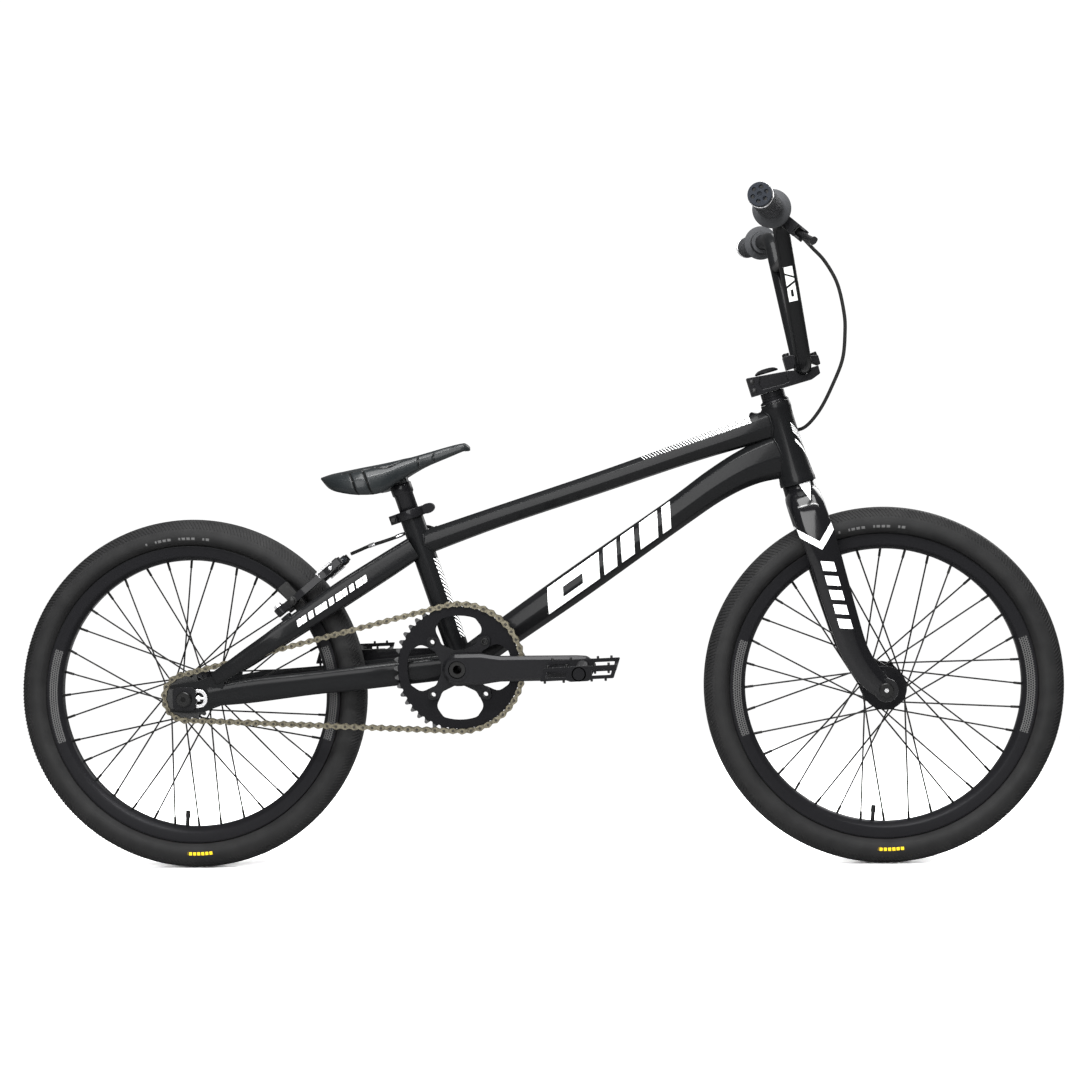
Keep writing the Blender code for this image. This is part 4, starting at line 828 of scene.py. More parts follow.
def studs_tree(name):
    """Copies of one item in rings round z, each ring further along z and turned on."""
    tree = bpy.data.node_groups.new(name, "GeometryNodeTree")
    sockets = {}
    for title, kind, value in (("Item", "NodeSocketObject", None), ("Copies", "NodeSocketInt", 12),
                               ("Rings", "NodeSocketInt", 1), ("Ring spacing", "NodeSocketFloat", 0.0),
                               ("Turn per ring", "NodeSocketFloat", 0.0),
                               ("Finish", "NodeSocketMaterial", None)):
        made = tree.interface.new_socket(title, in_out="INPUT", socket_type=kind)
        if value is not None:
            made.default_value = value
        sockets[title] = made.identifier
    tree.interface.new_socket("Geometry", in_out="OUTPUT", socket_type="NodeSocketGeometry")
    entry = tree.nodes.new("NodeGroupInput")

    def node(kind, links, **settings):
        made = tree.nodes.new(kind)
        for key, value in settings.items():
            setattr(made, key, value)
        for key, value in links.items():
            if isinstance(value, bpy.types.NodeSocket):
                tree.links.new(value, made.inputs[key])
            else:
                made.inputs[key].default_value = value
        return made.outputs[0]

    def maths(operation, a, b):
        return node("ShaderNodeMath", {0: a, 1: b}, operation=operation)

    copies, rings = entry.outputs["Copies"], entry.outputs["Rings"]
    points = node("GeometryNodePoints", {"Count": maths("MULTIPLY", copies, rings)})
    index = node("GeometryNodeInputIndex", {})
    ring = maths("FLOOR", maths("DIVIDE", index, copies), 0.0)
    turn = maths("MULTIPLY", maths("DIVIDE", index, copies), 2 * pi)
    turn = maths("ADD", turn, maths("MULTIPLY", ring, entry.outputs["Turn per ring"]))
    height = maths("MULTIPLY", ring, entry.outputs["Ring spacing"])
    points = node("GeometryNodeSetPosition",
                  {"Geometry": points, "Position": node("ShaderNodeCombineXYZ", {"Z": height})})
    item = tree.nodes.new("GeometryNodeObjectInfo")
    tree.links.new(entry.outputs["Item"], item.inputs["Object"])
    copied = node("GeometryNodeInstanceOnPoints",
                  {"Points": points, "Instance": item.outputs["Geometry"],
                   "Rotation": node("ShaderNodeCombineXYZ", {"Z": turn})})
    solid = node("GeometryNodeRealizeInstances", {"Geometry": copied})
    dressed = node("GeometryNodeSetMaterial", {"Geometry": solid, "Material": entry.outputs["Finish"]})
    tree.links.new(dressed, tree.nodes.new("NodeGroupOutput").inputs["Geometry"])
    return tree, sockets


studs, stud_sockets = studs_tree("studs_in_rings")


def grown(tree, values, place):
    """Runs a node tree on an empty mesh and returns the result as a bmesh in its place."""
    host = lay("host", bpy.data.meshes.new("host"))
    modifier = host.modifiers.new("grow", "NODES")
    modifier.node_group = tree
    for identifier, value in values.items():
        modifier[identifier] = value
    bpy.context.view_layer.update()
    result = bpy.data.meshes.new_from_object(host.evaluated_get(bpy.context.evaluated_depsgraph_get()))
    bm = bmesh.new()
    bm.from_mesh(result)
    bm.transform(place)
    bpy.data.objects.remove(host, do_unlink=True)
    bpy.data.meshes.remove(result)
    return bm


def studded(item, copies, finish, place, rings=1, spacing=0.0, turn=0.0):
    """Copies a small bmesh round the local z axis of a place."""
    mesh = bpy.data.meshes.new("item")
    item.to_mesh(mesh)
    item.free()
    one = lay("item", mesh)
    values = dict(zip(stud_sockets.values(), (one, copies, rings, spacing, turn, finish.material)))
    bm = grown(studs, values, place)
    bpy.data.objects.remove(one, do_unlink=True)
    return bm


def block(x, y, z):
    """A box from three (low, high) pairs."""
    return plate([(x[0], y[0]), (x[1], y[0]), (x[1], y[1]), (x[0], y[1])], z[0], z[1])


def shoulder_rib(sign):
    """One slanted rib across the shoulder, following the casing."""
    line = [(0.2372, 0.0208), (0.2412, 0.0182), (0.2446, 0.0145), (0.2473, 0.0104)]
    rings = []
    for k, (radius, off) in enumerate(line):
        swing = 0.012 * k
        out = Vector((cos(swing), sin(swing), 0))
        side = Vector((-sin(swing), cos(swing), 0))
        base = out * (radius - 0.0004) + Vector((0, 0, sign * off))
        lift = out * 0.0012 + Vector((0, 0, sign * 0.0007))
        rings.append([base - side * 0.0007, base + side * 0.0007, base + side * 0.0004 + lift,
                      base - side * 0.0004 + lift])
    return skin(rings)


RIM_PROFILE = [(0.1945, 0.0040), (0.2000, 0.0112), (0.2122, 0.0112), (0.2128, 0.0130), (0.2122, 0.0146),
               (0.2105, 0.0148), (0.2090, 0.0145), (0.1990, 0.0145), (0.1976, 0.0140), (0.1962, 0.0128),
               (0.1930, 0.0088), (0.1917, 0.0066), (0.1913, 0.0048)]


def both_sides(half):
    return half + [(r, -z) for r, z in reversed(half) if abs(z) > 1e-6]


for wheel, place, axle in (("front", FRONT, FRONT_AXLE), ("rear", REAR, REAR_AXLE)):
    rubber = tyre_rubber(wheel + "_tyre_rubber", axle)
    lining = [(0.2040, -0.0080), (0.2140, -0.0080), (0.2215, -0.0190), (0.2370, -0.0160), (0.2455, 0.0),
              (0.2370, 0.0160), (0.2215, 0.0190), (0.2140, 0.0080), (0.2040, 0.0080)]
    carcass = both_sides(TYRE_PROFILE) + lining
    ribs = [studded(shoulder_rib(sign), 300, rubber, Matrix()) for sign in (1, -1)]
    present(wheel + "_tyre_rubber", merged(turned(carcass, 180), *ribs), rubber, wheel + "_wheel",
            wheel + "_tyre", frame=place, sharp=40)
    alloy = rim_alloy(wheel + "_rim_alloy", axle)
    present(wheel + "_rim_hoop", turned(both_sides(RIM_PROFILE), 180), alloy, wheel + "_wheel",
            wheel + "_rim", frame=place, sharp=28)
    valve = rod([(0.1690, 0.0016), (0.1696, 0.0032), (0.1790, 0.0036), (0.1792, 0.0028),
                 (0.1925, 0.0028)], 20)
    present(wheel + "_valve", valve, bolt_black, wheel + "_wheel",
            frame=place @ Matrix.Rotation(radians(-95), 4, "Z") @ Matrix.Rotation(pi / 2, 4, "Y"))


# ------------------------------------------------------------------ hubs and spokes
# Thirty-six black spokes cross three times between each hub and its rim, in threaded nipples.
# The front hub is a fat turned shell with drilled flanges, the rear one is slimmer.
FLANGE_RADIUS = 0.0305
LACING = radians(60)
wire = Finish("black_spoke_wire", (0.006, 0.006, 0.006), 0.4, metallic=0.3, specular=0.2)
wire.mottle(300, 0.3, 0.08, 4000, 0.00002)
nipple = Finish("spoke_nipple", (0.012, 0.012, 0.012), 0.35, metallic=0.5)
nipple.mottle(300, 0.3, 0.08, 4000, 0.00002)


def bar_between(start, end, radius, steps=8):
    run = end - start
    turn = run.to_track_quat("Z", "Y").to_matrix().to_4x4()
    return in_frame(rod([(0, radius), (run.length, radius)], steps), Matrix.Translation(start) @ turn)


def one_spoke(flange_z, turn, lean):
    near, far = FLANGE_RADIUS - 0.0015, RIM_FOOT + 0.0010
    start = Vector((near, 0, flange_z + lean))
    end = Vector((far * cos(turn), far * sin(turn), 0.12 * flange_z + lean * 0.5))
    return start, end


def lacing(flange_z, turn, lean, finish, place, offset, part):
    start, end = one_spoke(flange_z, turn, lean)
    if part == "wire":
        item = bar_between(start, end, 0.00115)
    else:
        item = bar_between(end - (end - start).normalized() * 0.0125, end, 0.0018, 8)
    return studded(item, 9, finish, place @ Matrix.Rotation(offset, 4, "Z"))


hub_black = Finish("hub_black", (0.0070, 0.0070, 0.0078), 0.30, metallic=0.4)
hub_black.mottle(80, 0.30, 0.08, 2200, 0.00003)
HUBS = {"front": (FRONT, -0.0335, 0.0335, -0.0494, 0.0494), "rear": (REAR, -0.0310, 0.0290, -0.0544, 0.0370)}
for wheel, (place, low, high, left_end, right_end) in HUBS.items():
    body = wheel + "_wheel"
    for side, flange_z, start in (("right", high, 0.0), ("left", low, radians(10))):
        wires = [lacing(flange_z, LACING, 0.0007, wire, place, start, "wire"),
                 lacing(flange_z, -LACING, -0.0007, wire, place, start + radians(20), "wire")]
        present(f"{wheel}_spoke_wires_{side}", merged(*wires), wire, body, f"{wheel}_spokes_{side}")
        nuts = [lacing(flange_z, LACING, 0.0007, nipple, place, start, "nut"),
                lacing(flange_z, -LACING, -0.0007, nipple, place, start + radians(20), "nut")]
        present(f"{wheel}_spoke_nipples_{side}", merged(*nuts), nipple, body)
    barrel = 0.0165
    hub = [(0.0110, left_end), (0.0125, left_end + 0.0010), (0.0160, left_end + 0.0035)]
    for flange in (low, high):
        hub += [(barrel, flange - 0.0040), (0.0240, flange - 0.0016),
                (FLANGE_RADIUS - 0.0006, flange - 0.0016),
                (FLANGE_RADIUS, flange - 0.0010), (FLANGE_RADIUS, flange + 0.0010),
                (FLANGE_RADIUS - 0.0006, flange + 0.0016), (0.0240, flange + 0.0016),
                (barrel, flange + 0.0040)]
    hub += [(0.0160, right_end - 0.0035), (0.0125, right_end - 0.0010), (0.0110, right_end),
            (0.0056, right_end), (0.0056, left_end)]
    dimples = [studded(in_frame(rod([(flange - 0.0019, 0.0020), (flange + 0.0019, 0.0020)], 10),
                                Matrix.Translation((FLANGE_RADIUS - 0.0045, 0, 0))), 18, hub_black, Matrix())
               for flange in (low, high)]
    present(wheel + "_hub_shell", merged(turned(hub, 72), *dimples), hub_black, body, wheel + "_hub",
            frame=place, sharp=30)


# ------------------------------------------------------------------ cranks and chainring
# Hollow black arms on a splined spindle; the right one carries a four-armed spider.
# The chainring is a cut and bevelled plate with 44 teeth and four bolts.
CHAIN_PITCH = 0.0127
CHAINLINE = 0.0445
CRANK_LENGTH = 0.175
ARM_INNER, ARM_OUTER = 0.0600, 0.0760


def pitch_radius(teeth):
    return CHAIN_PITCH / (2 * sin(pi / teeth))


def toothed(teeth):
    """Sprocket outline: round seats for the rollers between rounded teeth."""
    pitch = pitch_radius(teeth)
    step = 2 * pi / teeth
    shape = [(-0.36, -0.0031), (-0.27, -0.0008), (-0.16, 0.0020), (-0.07, 0.0030),
             (0.07, 0.0030), (0.16, 0.0020), (0.27, -0.0008), (0.36, -0.0031), (0.50, -0.0038)]
    return [((pitch + rise) * cos((k + part) * step), (pitch + rise) * sin((k + part) * step))
            for k in range(teeth) for part, rise in shape]


def ring_windows():
    """Four wide bays between the bolt tabs, with rounded corners."""
    bays = []
    for k in range(4):
        tab = 45 + 90 * k
        bays += arc(0, 0, 0.0450, tab - 10, tab + 10, 4)
        bays += [(0.0640 * cos(radians(tab + 13)), 0.0640 * sin(radians(tab + 13)))]
        bays += arc(0, 0, 0.0730, tab + 26, tab + 64, 6)
        bays += [(0.0640 * cos(radians(tab + 77)), 0.0640 * sin(radians(tab + 77)))]
    return softened(bays, 0.007, 4)


bolt_circle = [(0.0520 * cos(radians(45 + 90 * k)), 0.0520 * sin(radians(45 + 90 * k))) for k in range(4)]
ring_black = Finish("chainring_black", (0.0060, 0.0060, 0.0068), 0.34, metallic=0.3)
radius = wheel_place(ring_black, BB)[0]
worn = ring_black.noise(220) * radius.within(0.0870, 0.0950)
ring_black.feed("Base Color", ring_black.mix(ring_black.colour, (0.10, 0.10, 0.10, 1), worn))
ring_black.feed("Roughness", ring_black.noise(70) * 0.16 + 0.28)
bolt_holes = [ring_line(x, y, 0.0036, 20) for x, y in bolt_circle]
ring = plate(toothed(44), CHAINLINE - 0.0015, CHAINLINE + 0.0015, [ring_windows(), *bolt_holes])
present("chainring_plate", ring, ring_black, "crank", "chainring", frame=CRANK, bevel=0.0003)
for k, (x, y) in enumerate(bolt_circle):
    cup = [(0.0052, CHAINLINE - 0.0030), (0.0052, CHAINLINE + 0.0080), (0.0048, CHAINLINE + 0.0085),
           (0.0034, CHAINLINE + 0.0085), (0.0034, CHAINLINE - 0.0030)]
    present(f"chainring_bolt_{k + 1}", turned(cup, 32), bolt_black, "crank",
            frame=CRANK @ Matrix.Translation((x, y, 0)))


def arm_outline():
    end = CRANK_LENGTH
    upper = [(0.0340, 0.0212), (0.0480, 0.0190), (0.0600, 0.0174), (end - 0.010, 0.0168)]
    return [*arc(0, 0, 0.0212, 262, 98, 20), *upper, *arc(end - 0.002, 0, 0.0168, 72, -72, 16),
            *[(x, -y) for x, y in reversed(upper)]]


def inset(outline, depth):
    """Each point of an outline moved inwards."""
    count = len(outline)
    area = sum(outline[i - 1][0] * outline[i][1] - outline[i][0] * outline[i - 1][1] for i in range(count))
    side = 1 if area > 0 else -1
    moved = []
    for i in range(count):
        (ax, ay), (bx, by) = outline[i - 1], outline[(i + 1) % count]
        run = Vector((bx - ax, by - ay)).normalized() * (depth * side)
        moved.append((outline[i][0] - run.y, outline[i][1] + run.x))
    return moved


def make_arm(sign):
    """A box-section arm whose outer face is chamfered all round, with a collar at each eye."""
    line = softened([(sign * x, y) for x, y in arm_outline()], 0.001, 1)
    holes = [ring_line(0, 0, 0.0123, 40), ring_line(sign * CRANK_LENGTH, 0, 0.0071, 24)]
    low, high = outwards(sign, ARM_INNER, ARM_OUTER - 0.0052)
    main = plate(line, low, high, holes)
    z_low, z_high = sign * (ARM_OUTER - 0.0053), sign * (ARM_OUTER - 0.0008)
    narrow = inset(line, 0.0042)
    slope = bmesh.new()
    rows = [[slope.verts.new((x, y, z)) for x, y in row] for row, z in ((line, z_low), (narrow, z_high))]
    for i in range(len(line)):
        j = (i + 1) % len(line)
        slope.faces.new((rows[0][i], rows[0][j], rows[1][j], rows[1][i]))
    face = plate(narrow, *sorted((z_high, z_high - sign * 0.0030)), holes)
    collar_span = outwards(sign, ARM_OUTER - 0.0030, ARM_OUTER)
    collar = plate(ring_line(0, 0, 0.0160, 48), *collar_span, [ring_line(0, 0, 0.0123, 40)])
    eye = plate(ring_line(sign * CRANK_LENGTH, 0, 0.0110, 40), *collar_span,
                [ring_line(sign * CRANK_LENGTH, 0, 0.0071, 24)])
    return [main, slope, face, collar, eye]


def make_spider():
    star = []
    for k in range(4):
        tab = 45 + 90 * k
        star += arc(0, 0, 0.0255, tab - 37, tab - 30, 2)
        for reach, swing in ((0.0405, -9.0), (0.0510, -11.0), (0.0605, -3.0), (0.0605, 3.0), (0.0510, 11.0),
                             (0.0405, 9.0)):
            star += [(reach * cos(radians(tab + swing)), reach * sin(radians(tab + swing)))]
        star += arc(0, 0, 0.0255, tab + 30, tab + 37, 2)
    spider = plate(softened(star, 0.003, 2), CHAINLINE + 0.0018, CHAINLINE + 0.0068,
                   [ring_line(x, y, 0.0053, 24) for x, y in bolt_circle] + [ring_line(0, 0, 0.0123, 40)])
    boss = turned([(0.0200, CHAINLINE + 0.0060), (0.0190, ARM_INNER + 0.001), (0.0123, ARM_INNER + 0.001),
                   (0.0123, CHAINLINE + 0.0060)], 48)
    return [spider, boss]


present("crank_right_forging", merged(*make_arm(1), *make_spider()), black_alloy, "crank",
        "crank_arm_right", frame=CRANK, bevel=0.0011)
left_boss = turned([(0.0180, -ARM_INNER - 0.001), (0.0180, -0.0455), (0.0172, -0.0450), (0.0123, -0.0450),
                    (0.0123, -ARM_INNER - 0.001)], 48)
present("crank_left_forging", merged(*make_arm(-1), left_boss), black_alloy, "crank", "crank_arm_left",
        frame=CRANK, bevel=0.0011)
spindle = [(0.0120, -0.0725), (0.0120, 0.0725), (0.0112, 0.0735), (0.0062, 0.0735), (0.0055, 0.0700),
           (0.0055, -0.0700), (0.0062, -0.0735), (0.0112, -0.0735)]
present("crank_spindle_tube", turned(spindle, 48), bolt_black, "crank", "crank_spindle", frame=CRANK)


# ------------------------------------------------------------------ chain and rear sprocket
# A half-inch roller chain, plated and a little dull, round both sprockets.
# Inner and outer links take turns; each pin is peened over.
COG_TEETH, RING_TEETH = 16, 44
chain_steel = Finish("plated_chain", (0.42, 0.38, 0.30), 0.30, metallic=1.0)
grime = chain_steel.noise(260)
chain_steel.feed("Base Color", chain_steel.mix((0.17, 0.155, 0.115, 1), (0.045, 0.04, 0.03, 1),
                                               (grime - 0.42) * 3.0))
# Pins and rollers are near-black: partly their own darker steel, partly painted shade for the gaps between
# the link plates.
pin_steel_gap_shade = Finish("dark_pins_with_painted_gap_shade", (0.045, 0.042, 0.036), 0.35, metallic=0.8)
pin_steel_gap_shade.mottle(300, 0.35, 0.10, 2500, 0.00002)
chain_steel.feed("Roughness", chain_steel.noise(400) * 0.3 + 0.18)


def chain_route():
    """Points of the pitch line round the sprocket and the chainring, and its length."""
    cog, ring_centre = Vector((REAR_AXLE.x, REAR_AXLE.z)), Vector((BB.x, BB.z))
    small, large = pitch_radius(COG_TEETH), pitch_radius(RING_TEETH)
    run = ring_centre - cog
    heading = atan2(run.y, run.x)
    opening = acos((small - large) / run.length)
    points = []
    for centre, size, start, end in ((ring_centre, large, heading - opening, heading + opening),
                                     (cog, small, heading + opening, heading + 2 * pi - opening)):
        for k in range(61):
            a = start + (end - start) * k / 60
            points.append(Vector((centre.x + size * cos(a), -CHAINLINE, centre.y + size * sin(a))))
    length = sum((q - p).length for p, q in zip(points, points[1:] + points[:1]))
    return points, length


def link_plate(pitch, half_height, waist, y0, y1):
    """A figure-of-eight side plate; the link's length lies along x."""
    half = pitch / 2
    outline = [*arc(half, 0, half_height, -112, 112, 10), (0, waist),
               *arc(-half, 0, half_height, 68, 292, 10), (0, -waist)]
    made = plate(outline, y0, y1)
    return in_frame(made, Matrix.Rotation(pi / 2, 4, "X"))


def pin(x, radius, y0, y1, steps=14):
    return in_frame(rod([(y0, radius), (y1, radius)], steps), Matrix.Translation((x, 0, 0))
                    @ Matrix.Rotation(pi / 2, 4, "X"))


def make_link(pitch, outer):
    if outer:
        plates = [link_plate(pitch, 0.0043, 0.0024, y, y + 0.0009) for y in (0.0032, -0.0041)]
    else:
        plates = [link_plate(pitch, 0.0041, 0.0021, y, y + 0.0009) for y in (0.0021, -0.0030)]
    return merged(*plates)


def make_pins(pitch, outer):
    """The two riveted pins of an outer link, or the two rollers inside an inner one."""
    size, half = (0.0020, 0.0044) if outer else (0.0036, 0.0020)
    return merged(*[pin(x, size, -half, half) for x in (-pitch / 2, pitch / 2)])


def link_tree(name):
    """Two kinds of link by turns along a closed route, each turned along it."""
    tree = bpy.data.node_groups.new(name, "GeometryNodeTree")
    sockets = {}
    for title, kind in (("Route", "NodeSocketObject"), ("Outer link", "NodeSocketObject"),
                        ("Inner link", "NodeSocketObject"), ("Links", "NodeSocketInt"),
                        ("Finish", "NodeSocketMaterial")):
        sockets[title] = tree.interface.new_socket(title, in_out="INPUT", socket_type=kind).identifier
    tree.interface.new_socket("Geometry", in_out="OUTPUT", socket_type="NodeSocketGeometry")
    entry = tree.nodes.new("NodeGroupInput")
    shapes = {}
    for title in ("Route", "Outer link", "Inner link"):
        info = tree.nodes.new("GeometryNodeObjectInfo")
        tree.links.new(entry.outputs[title], info.inputs["Object"])
        shapes[title] = info.outputs["Geometry"]
    spaced = tree.nodes.new("GeometryNodeCurveToPoints")
    spaced.mode = "COUNT"
    tree.links.new(shapes["Route"], spaced.inputs["Curve"])
    tree.links.new(entry.outputs["Links"], spaced.inputs["Count"])
    turn = tree.nodes.new("FunctionNodeAlignRotationToVector")
    turn.axis = "X"
    turn.pivot_axis = "Y"
    tree.links.new(spaced.outputs["Tangent"], turn.inputs["Vector"])
    odd = tree.nodes.new("ShaderNodeMath")
    odd.operation = "MODULO"
    odd.inputs[1].default_value = 2
    tree.links.new(tree.nodes.new("GeometryNodeInputIndex").outputs[0], odd.inputs[0])
    flip = tree.nodes.new("ShaderNodeMath")
    flip.operation = "SUBTRACT"
    flip.inputs[0].default_value = 1
    tree.links.new(odd.outputs[0], flip.inputs[1])
    whole = tree.nodes.new("GeometryNodeJoinGeometry")
    for title, chosen in (("Outer link", odd), ("Inner link", flip)):
        copies = tree.nodes.new("GeometryNodeInstanceOnPoints")
        tree.links.new(spaced.outputs["Points"], copies.inputs["Points"])
        tree.links.new(chosen.outputs[0], copies.inputs["Selection"])
        tree.links.new(shapes[title], copies.inputs["Instance"])
        tree.links.new(turn.outputs[0], copies.inputs["Rotation"])
        tree.links.new(copies.outputs[0], whole.inputs[0])
    solid = tree.nodes.new("GeometryNodeRealizeInstances")
    tree.links.new(whole.outputs[0], solid.inputs[0])
    dressed = tree.nodes.new("GeometryNodeSetMaterial")
    tree.links.new(solid.outputs[0], dressed.inputs["Geometry"])
    tree.links.new(entry.outputs["Finish"], dressed.inputs["Material"])
    tree.links.new(dressed.outputs[0], tree.nodes.new("NodeGroupOutput").inputs["Geometry"])
    return tree, sockets


def as_object(name, bm):
    mesh = bpy.data.meshes.new(name)
    bmesh.ops.recalc_face_normals(bm, faces=bm.faces)
    bm.to_mesh(mesh)
    bm.free()
    return lay(name, mesh)


route_points, route_length = chain_route()
links = 2 * round(route_length / CHAIN_PITCH / 2)
pitch = route_length / links
curve = bpy.data.curves.new("chain_route", "CURVE")
curve.dimensions = "3D"
spline = curve.splines.new("POLY")
spline.points.add(len(route_points) - 1)
spline.use_cyclic_u = True
for slot, point in zip(spline.points, route_points):
    slot.co = (*point, 1)
route_line = lay("chain_route", curve)
chain_nodes, chain_sockets = link_tree("links_along_route")


def along_chain(make, finish):
    """Two kinds of item by turns round the whole chain."""
    items = [as_object("outer_item", make(pitch, True)), as_object("inner_item", make(pitch, False))]
    values = (route_line, *items, links, finish.material)
    made = grown(chain_nodes, dict(zip(chain_sockets.values(), values)), Matrix())
    for item in items:
        bpy.data.objects.remove(item, do_unlink=True)
    return made


present("chain_plates", along_chain(make_link, chain_steel), chain_steel, "frame", "chain", sharp=30)
present("chain_pins", along_chain(make_pins, pin_steel_gap_shade), pin_steel_gap_shade, "frame", sharp=30)
bpy.data.objects.remove(route_line, do_unlink=True)

cog_steel = Finish("sprocket_steel", (0.045, 0.045, 0.045), 0.34, metallic=0.9)
cog_steel.mottle(160, 0.34, 0.12, 2000, 0.00003)
cog = plate(toothed(COG_TEETH), CHAINLINE - 0.0015, CHAINLINE + 0.0015, [ring_line(0, 0, 0.0150, 32)])
driver = turned([(0.0170, 0.0376), (0.0170, 0.0510), (0.0160, 0.0525), (0.0100, 0.0540), (0.0056, 0.0540),
                 (0.0056, 0.0376)], 48)
slots = studded(block((0.0150, 0.0176), (-0.0012, 0.0012), (0.0470, 0.0520)), 8, cog_steel, Matrix())
present("rear_sprocket", merged(cog, driver, slots), cog_steel, "sprocket", "rear_cog", frame=REAR,
        bevel=0.0002)


# ------------------------------------------------------------------ pedals
# Alloy cages with slanted side plates, a fat bearing barrel, two rails and screwed-in pins.
# Each turns on a steel axle screwed into its crank arm.
PEDAL_IN, PEDAL_OUT = 0.0860, 0.1850
PEDAL_TILT = radians(2)
CAGE_LIFT = 0.0038    # how far the cage sits above its axle
pedal_black = Finish("pedal_black", (0.0080, 0.0080, 0.0088), 0.36, metallic=0.4)
pedal_black.mottle(90, 0.36, 0.10, 2200, 0.00004)
for side, sign in (("right", 1), ("left", -1)):
    place = (CRANK @ Matrix.Translation((sign * CRANK_LENGTH, 0, 0)) @ Matrix.Rotation(PEDAL_TILT, 4, "Z"))
    cage = softened([(-0.0520, -0.0035), (-0.0165, -0.0035), (-0.0120, -0.0058), (0.0120, -0.0058),
                     (0.0165, -0.0035), (0.0460, -0.0035), (0.0520, 0.0140), (0.0165, 0.0140),
                     (0.0120, 0.0142), (-0.0120, 0.0142), (-0.0165, 0.0140), (-0.0460, 0.0140)], 0.0018)
    bays = [softened(line, 0.0014) for line in (
        [(0.0170, 0.0008), (0.0420, 0.0008), (0.0448, 0.0092), (0.0170, 0.0092)],
        [(-0.0448, 0.0008), (-0.0170, 0.0008), (-0.0170, 0.0092), (-0.0420, 0.0092)])]
    rails = [softened(line, 0.001) for line in (
        [(0.0440, 0.0008), (0.0475, 0.0008), (0.0500, 0.0092), (0.0465, 0.0092)],
        [(-0.0500, 0.0008), (-0.0465, 0.0008), (-0.0440, 0.0092), (-0.0475, 0.0092)])]
    raised = Matrix.Translation((0, CAGE_LIFT, 0))
    span = outwards(sign, PEDAL_IN + 0.001, PEDAL_OUT - 0.001)
    parts = [plate(cage, *outwards(sign, PEDAL_OUT - 0.005, PEDAL_OUT), bays),
             plate(cage, *outwards(sign, PEDAL_IN, PEDAL_IN + 0.005), bays),
             *[plate(rail, *span) for rail in rails],
             in_frame(rod([(span[0], 0.0088), (span[0] + 0.012, 0.0096), (sum(span) / 2, 0.0086),
                           (span[1] - 0.012, 0.0096), (span[1], 0.0088)], 40), raised),
             plate(ring_line(0, CAGE_LIFT, 0.0098, 40), *outwards(sign, PEDAL_OUT - 0.006, PEDAL_OUT))]
    present("pedal_cage_" + side, merged(*parts), pedal_black, side + "_pedal", "pedal_" + side,
            frame=place, bevel=0.0006)
    pins = bmesh.new()
    for x in (-0.0470, -0.0200, 0.0200, 0.0400):
        for z in (PEDAL_IN + 0.0025, PEDAL_OUT - 0.0025):
            for top in (1, -1):
                shift, lift = (0.0030, -0.0010) if top > 0 else (-0.0020, 0.0116)
                grub = rod([(0.0125, 0.0017), (0.0178, 0.0017), (0.0184, 0.0013)], 12)
                turn = Matrix.Rotation(-pi / 2 * top, 4, "X")
                grub.transform(Matrix.Translation((x * 0.93 + shift, lift, sign * z)) @ turn)
                spare = bpy.data.meshes.new("spare")
                grub.to_mesh(spare)
                grub.free()
                pins.from_mesh(spare)
                bpy.data.meshes.remove(spare)
    present("pedal_pins_" + side, pins, bolt_black, side + "_pedal", frame=place)
    cap = plate(ring_line(0, CAGE_LIFT, 0.0080, 40), *outwards(sign, PEDAL_OUT - 0.001, PEDAL_OUT + 0.0008))
    present("pedal_dust_cap_" + side, cap, pedal_black, side + "_pedal", frame=place, bevel=0.0003)
    axle = [(ARM_INNER + 0.001, 0.0068), (ARM_OUTER + 0.0004, 0.0068), (ARM_OUTER + 0.0006, 0.0092),
            (PEDAL_IN - 0.0016, 0.0092), (PEDAL_IN - 0.0010, 0.0086), (PEDAL_IN - 0.0010, 0.0055),
            (PEDAL_OUT - 0.008, 0.0055)]
    present("pedal_spindle_" + side, rod([(sign * z, r) for z, r in axle], 32), bolt_black, "crank",
            "pedal_axle_" + side, frame=CRANK @ Matrix.Translation((sign * CRANK_LENGTH, 0, 0)))


# ------------------------------------------------------------------ fork and front axle
# A gloss black fork: broad bladed legs spring from a low crown and narrow to round axle ends.
# A bold pale chevron and a stack of slanted bars are printed on each leg.
FORK_SHAPE = [(-0.62, 1.0), (-1.0, 0.35), (-1.0, -0.35), (-0.62, -1.0),
              (0.62, -1.0), (1.0, -0.35), (1.0, 0.35), (0.62, 1.0)]
FORK_LEG = [((0.0010, 0.0220, -0.0230), 0.0245, 0.0160), ((0.0015, 0.0400, -0.0350), 0.0245, 0.0140),
            ((0.0025, 0.0500, -0.0590), 0.0240, 0.0110), ((0.0045, 0.0552, -0.0920), 0.0232, 0.0088),
            ((0.0052, 0.0570, -0.1400), 0.0218, 0.0072), ((0.0060, 0.0571, -0.1900), 0.0204, 0.0066),
            ((0.0085, 0.0571, -0.2400), 0.0188, 0.0062), ((0.0190, 0.0571, -0.2780), 0.0175, 0.0060),
            ((0.0330, 0.0571, -0.3020), 0.0145, 0.0058)]
FORK_OLD = 0.0503


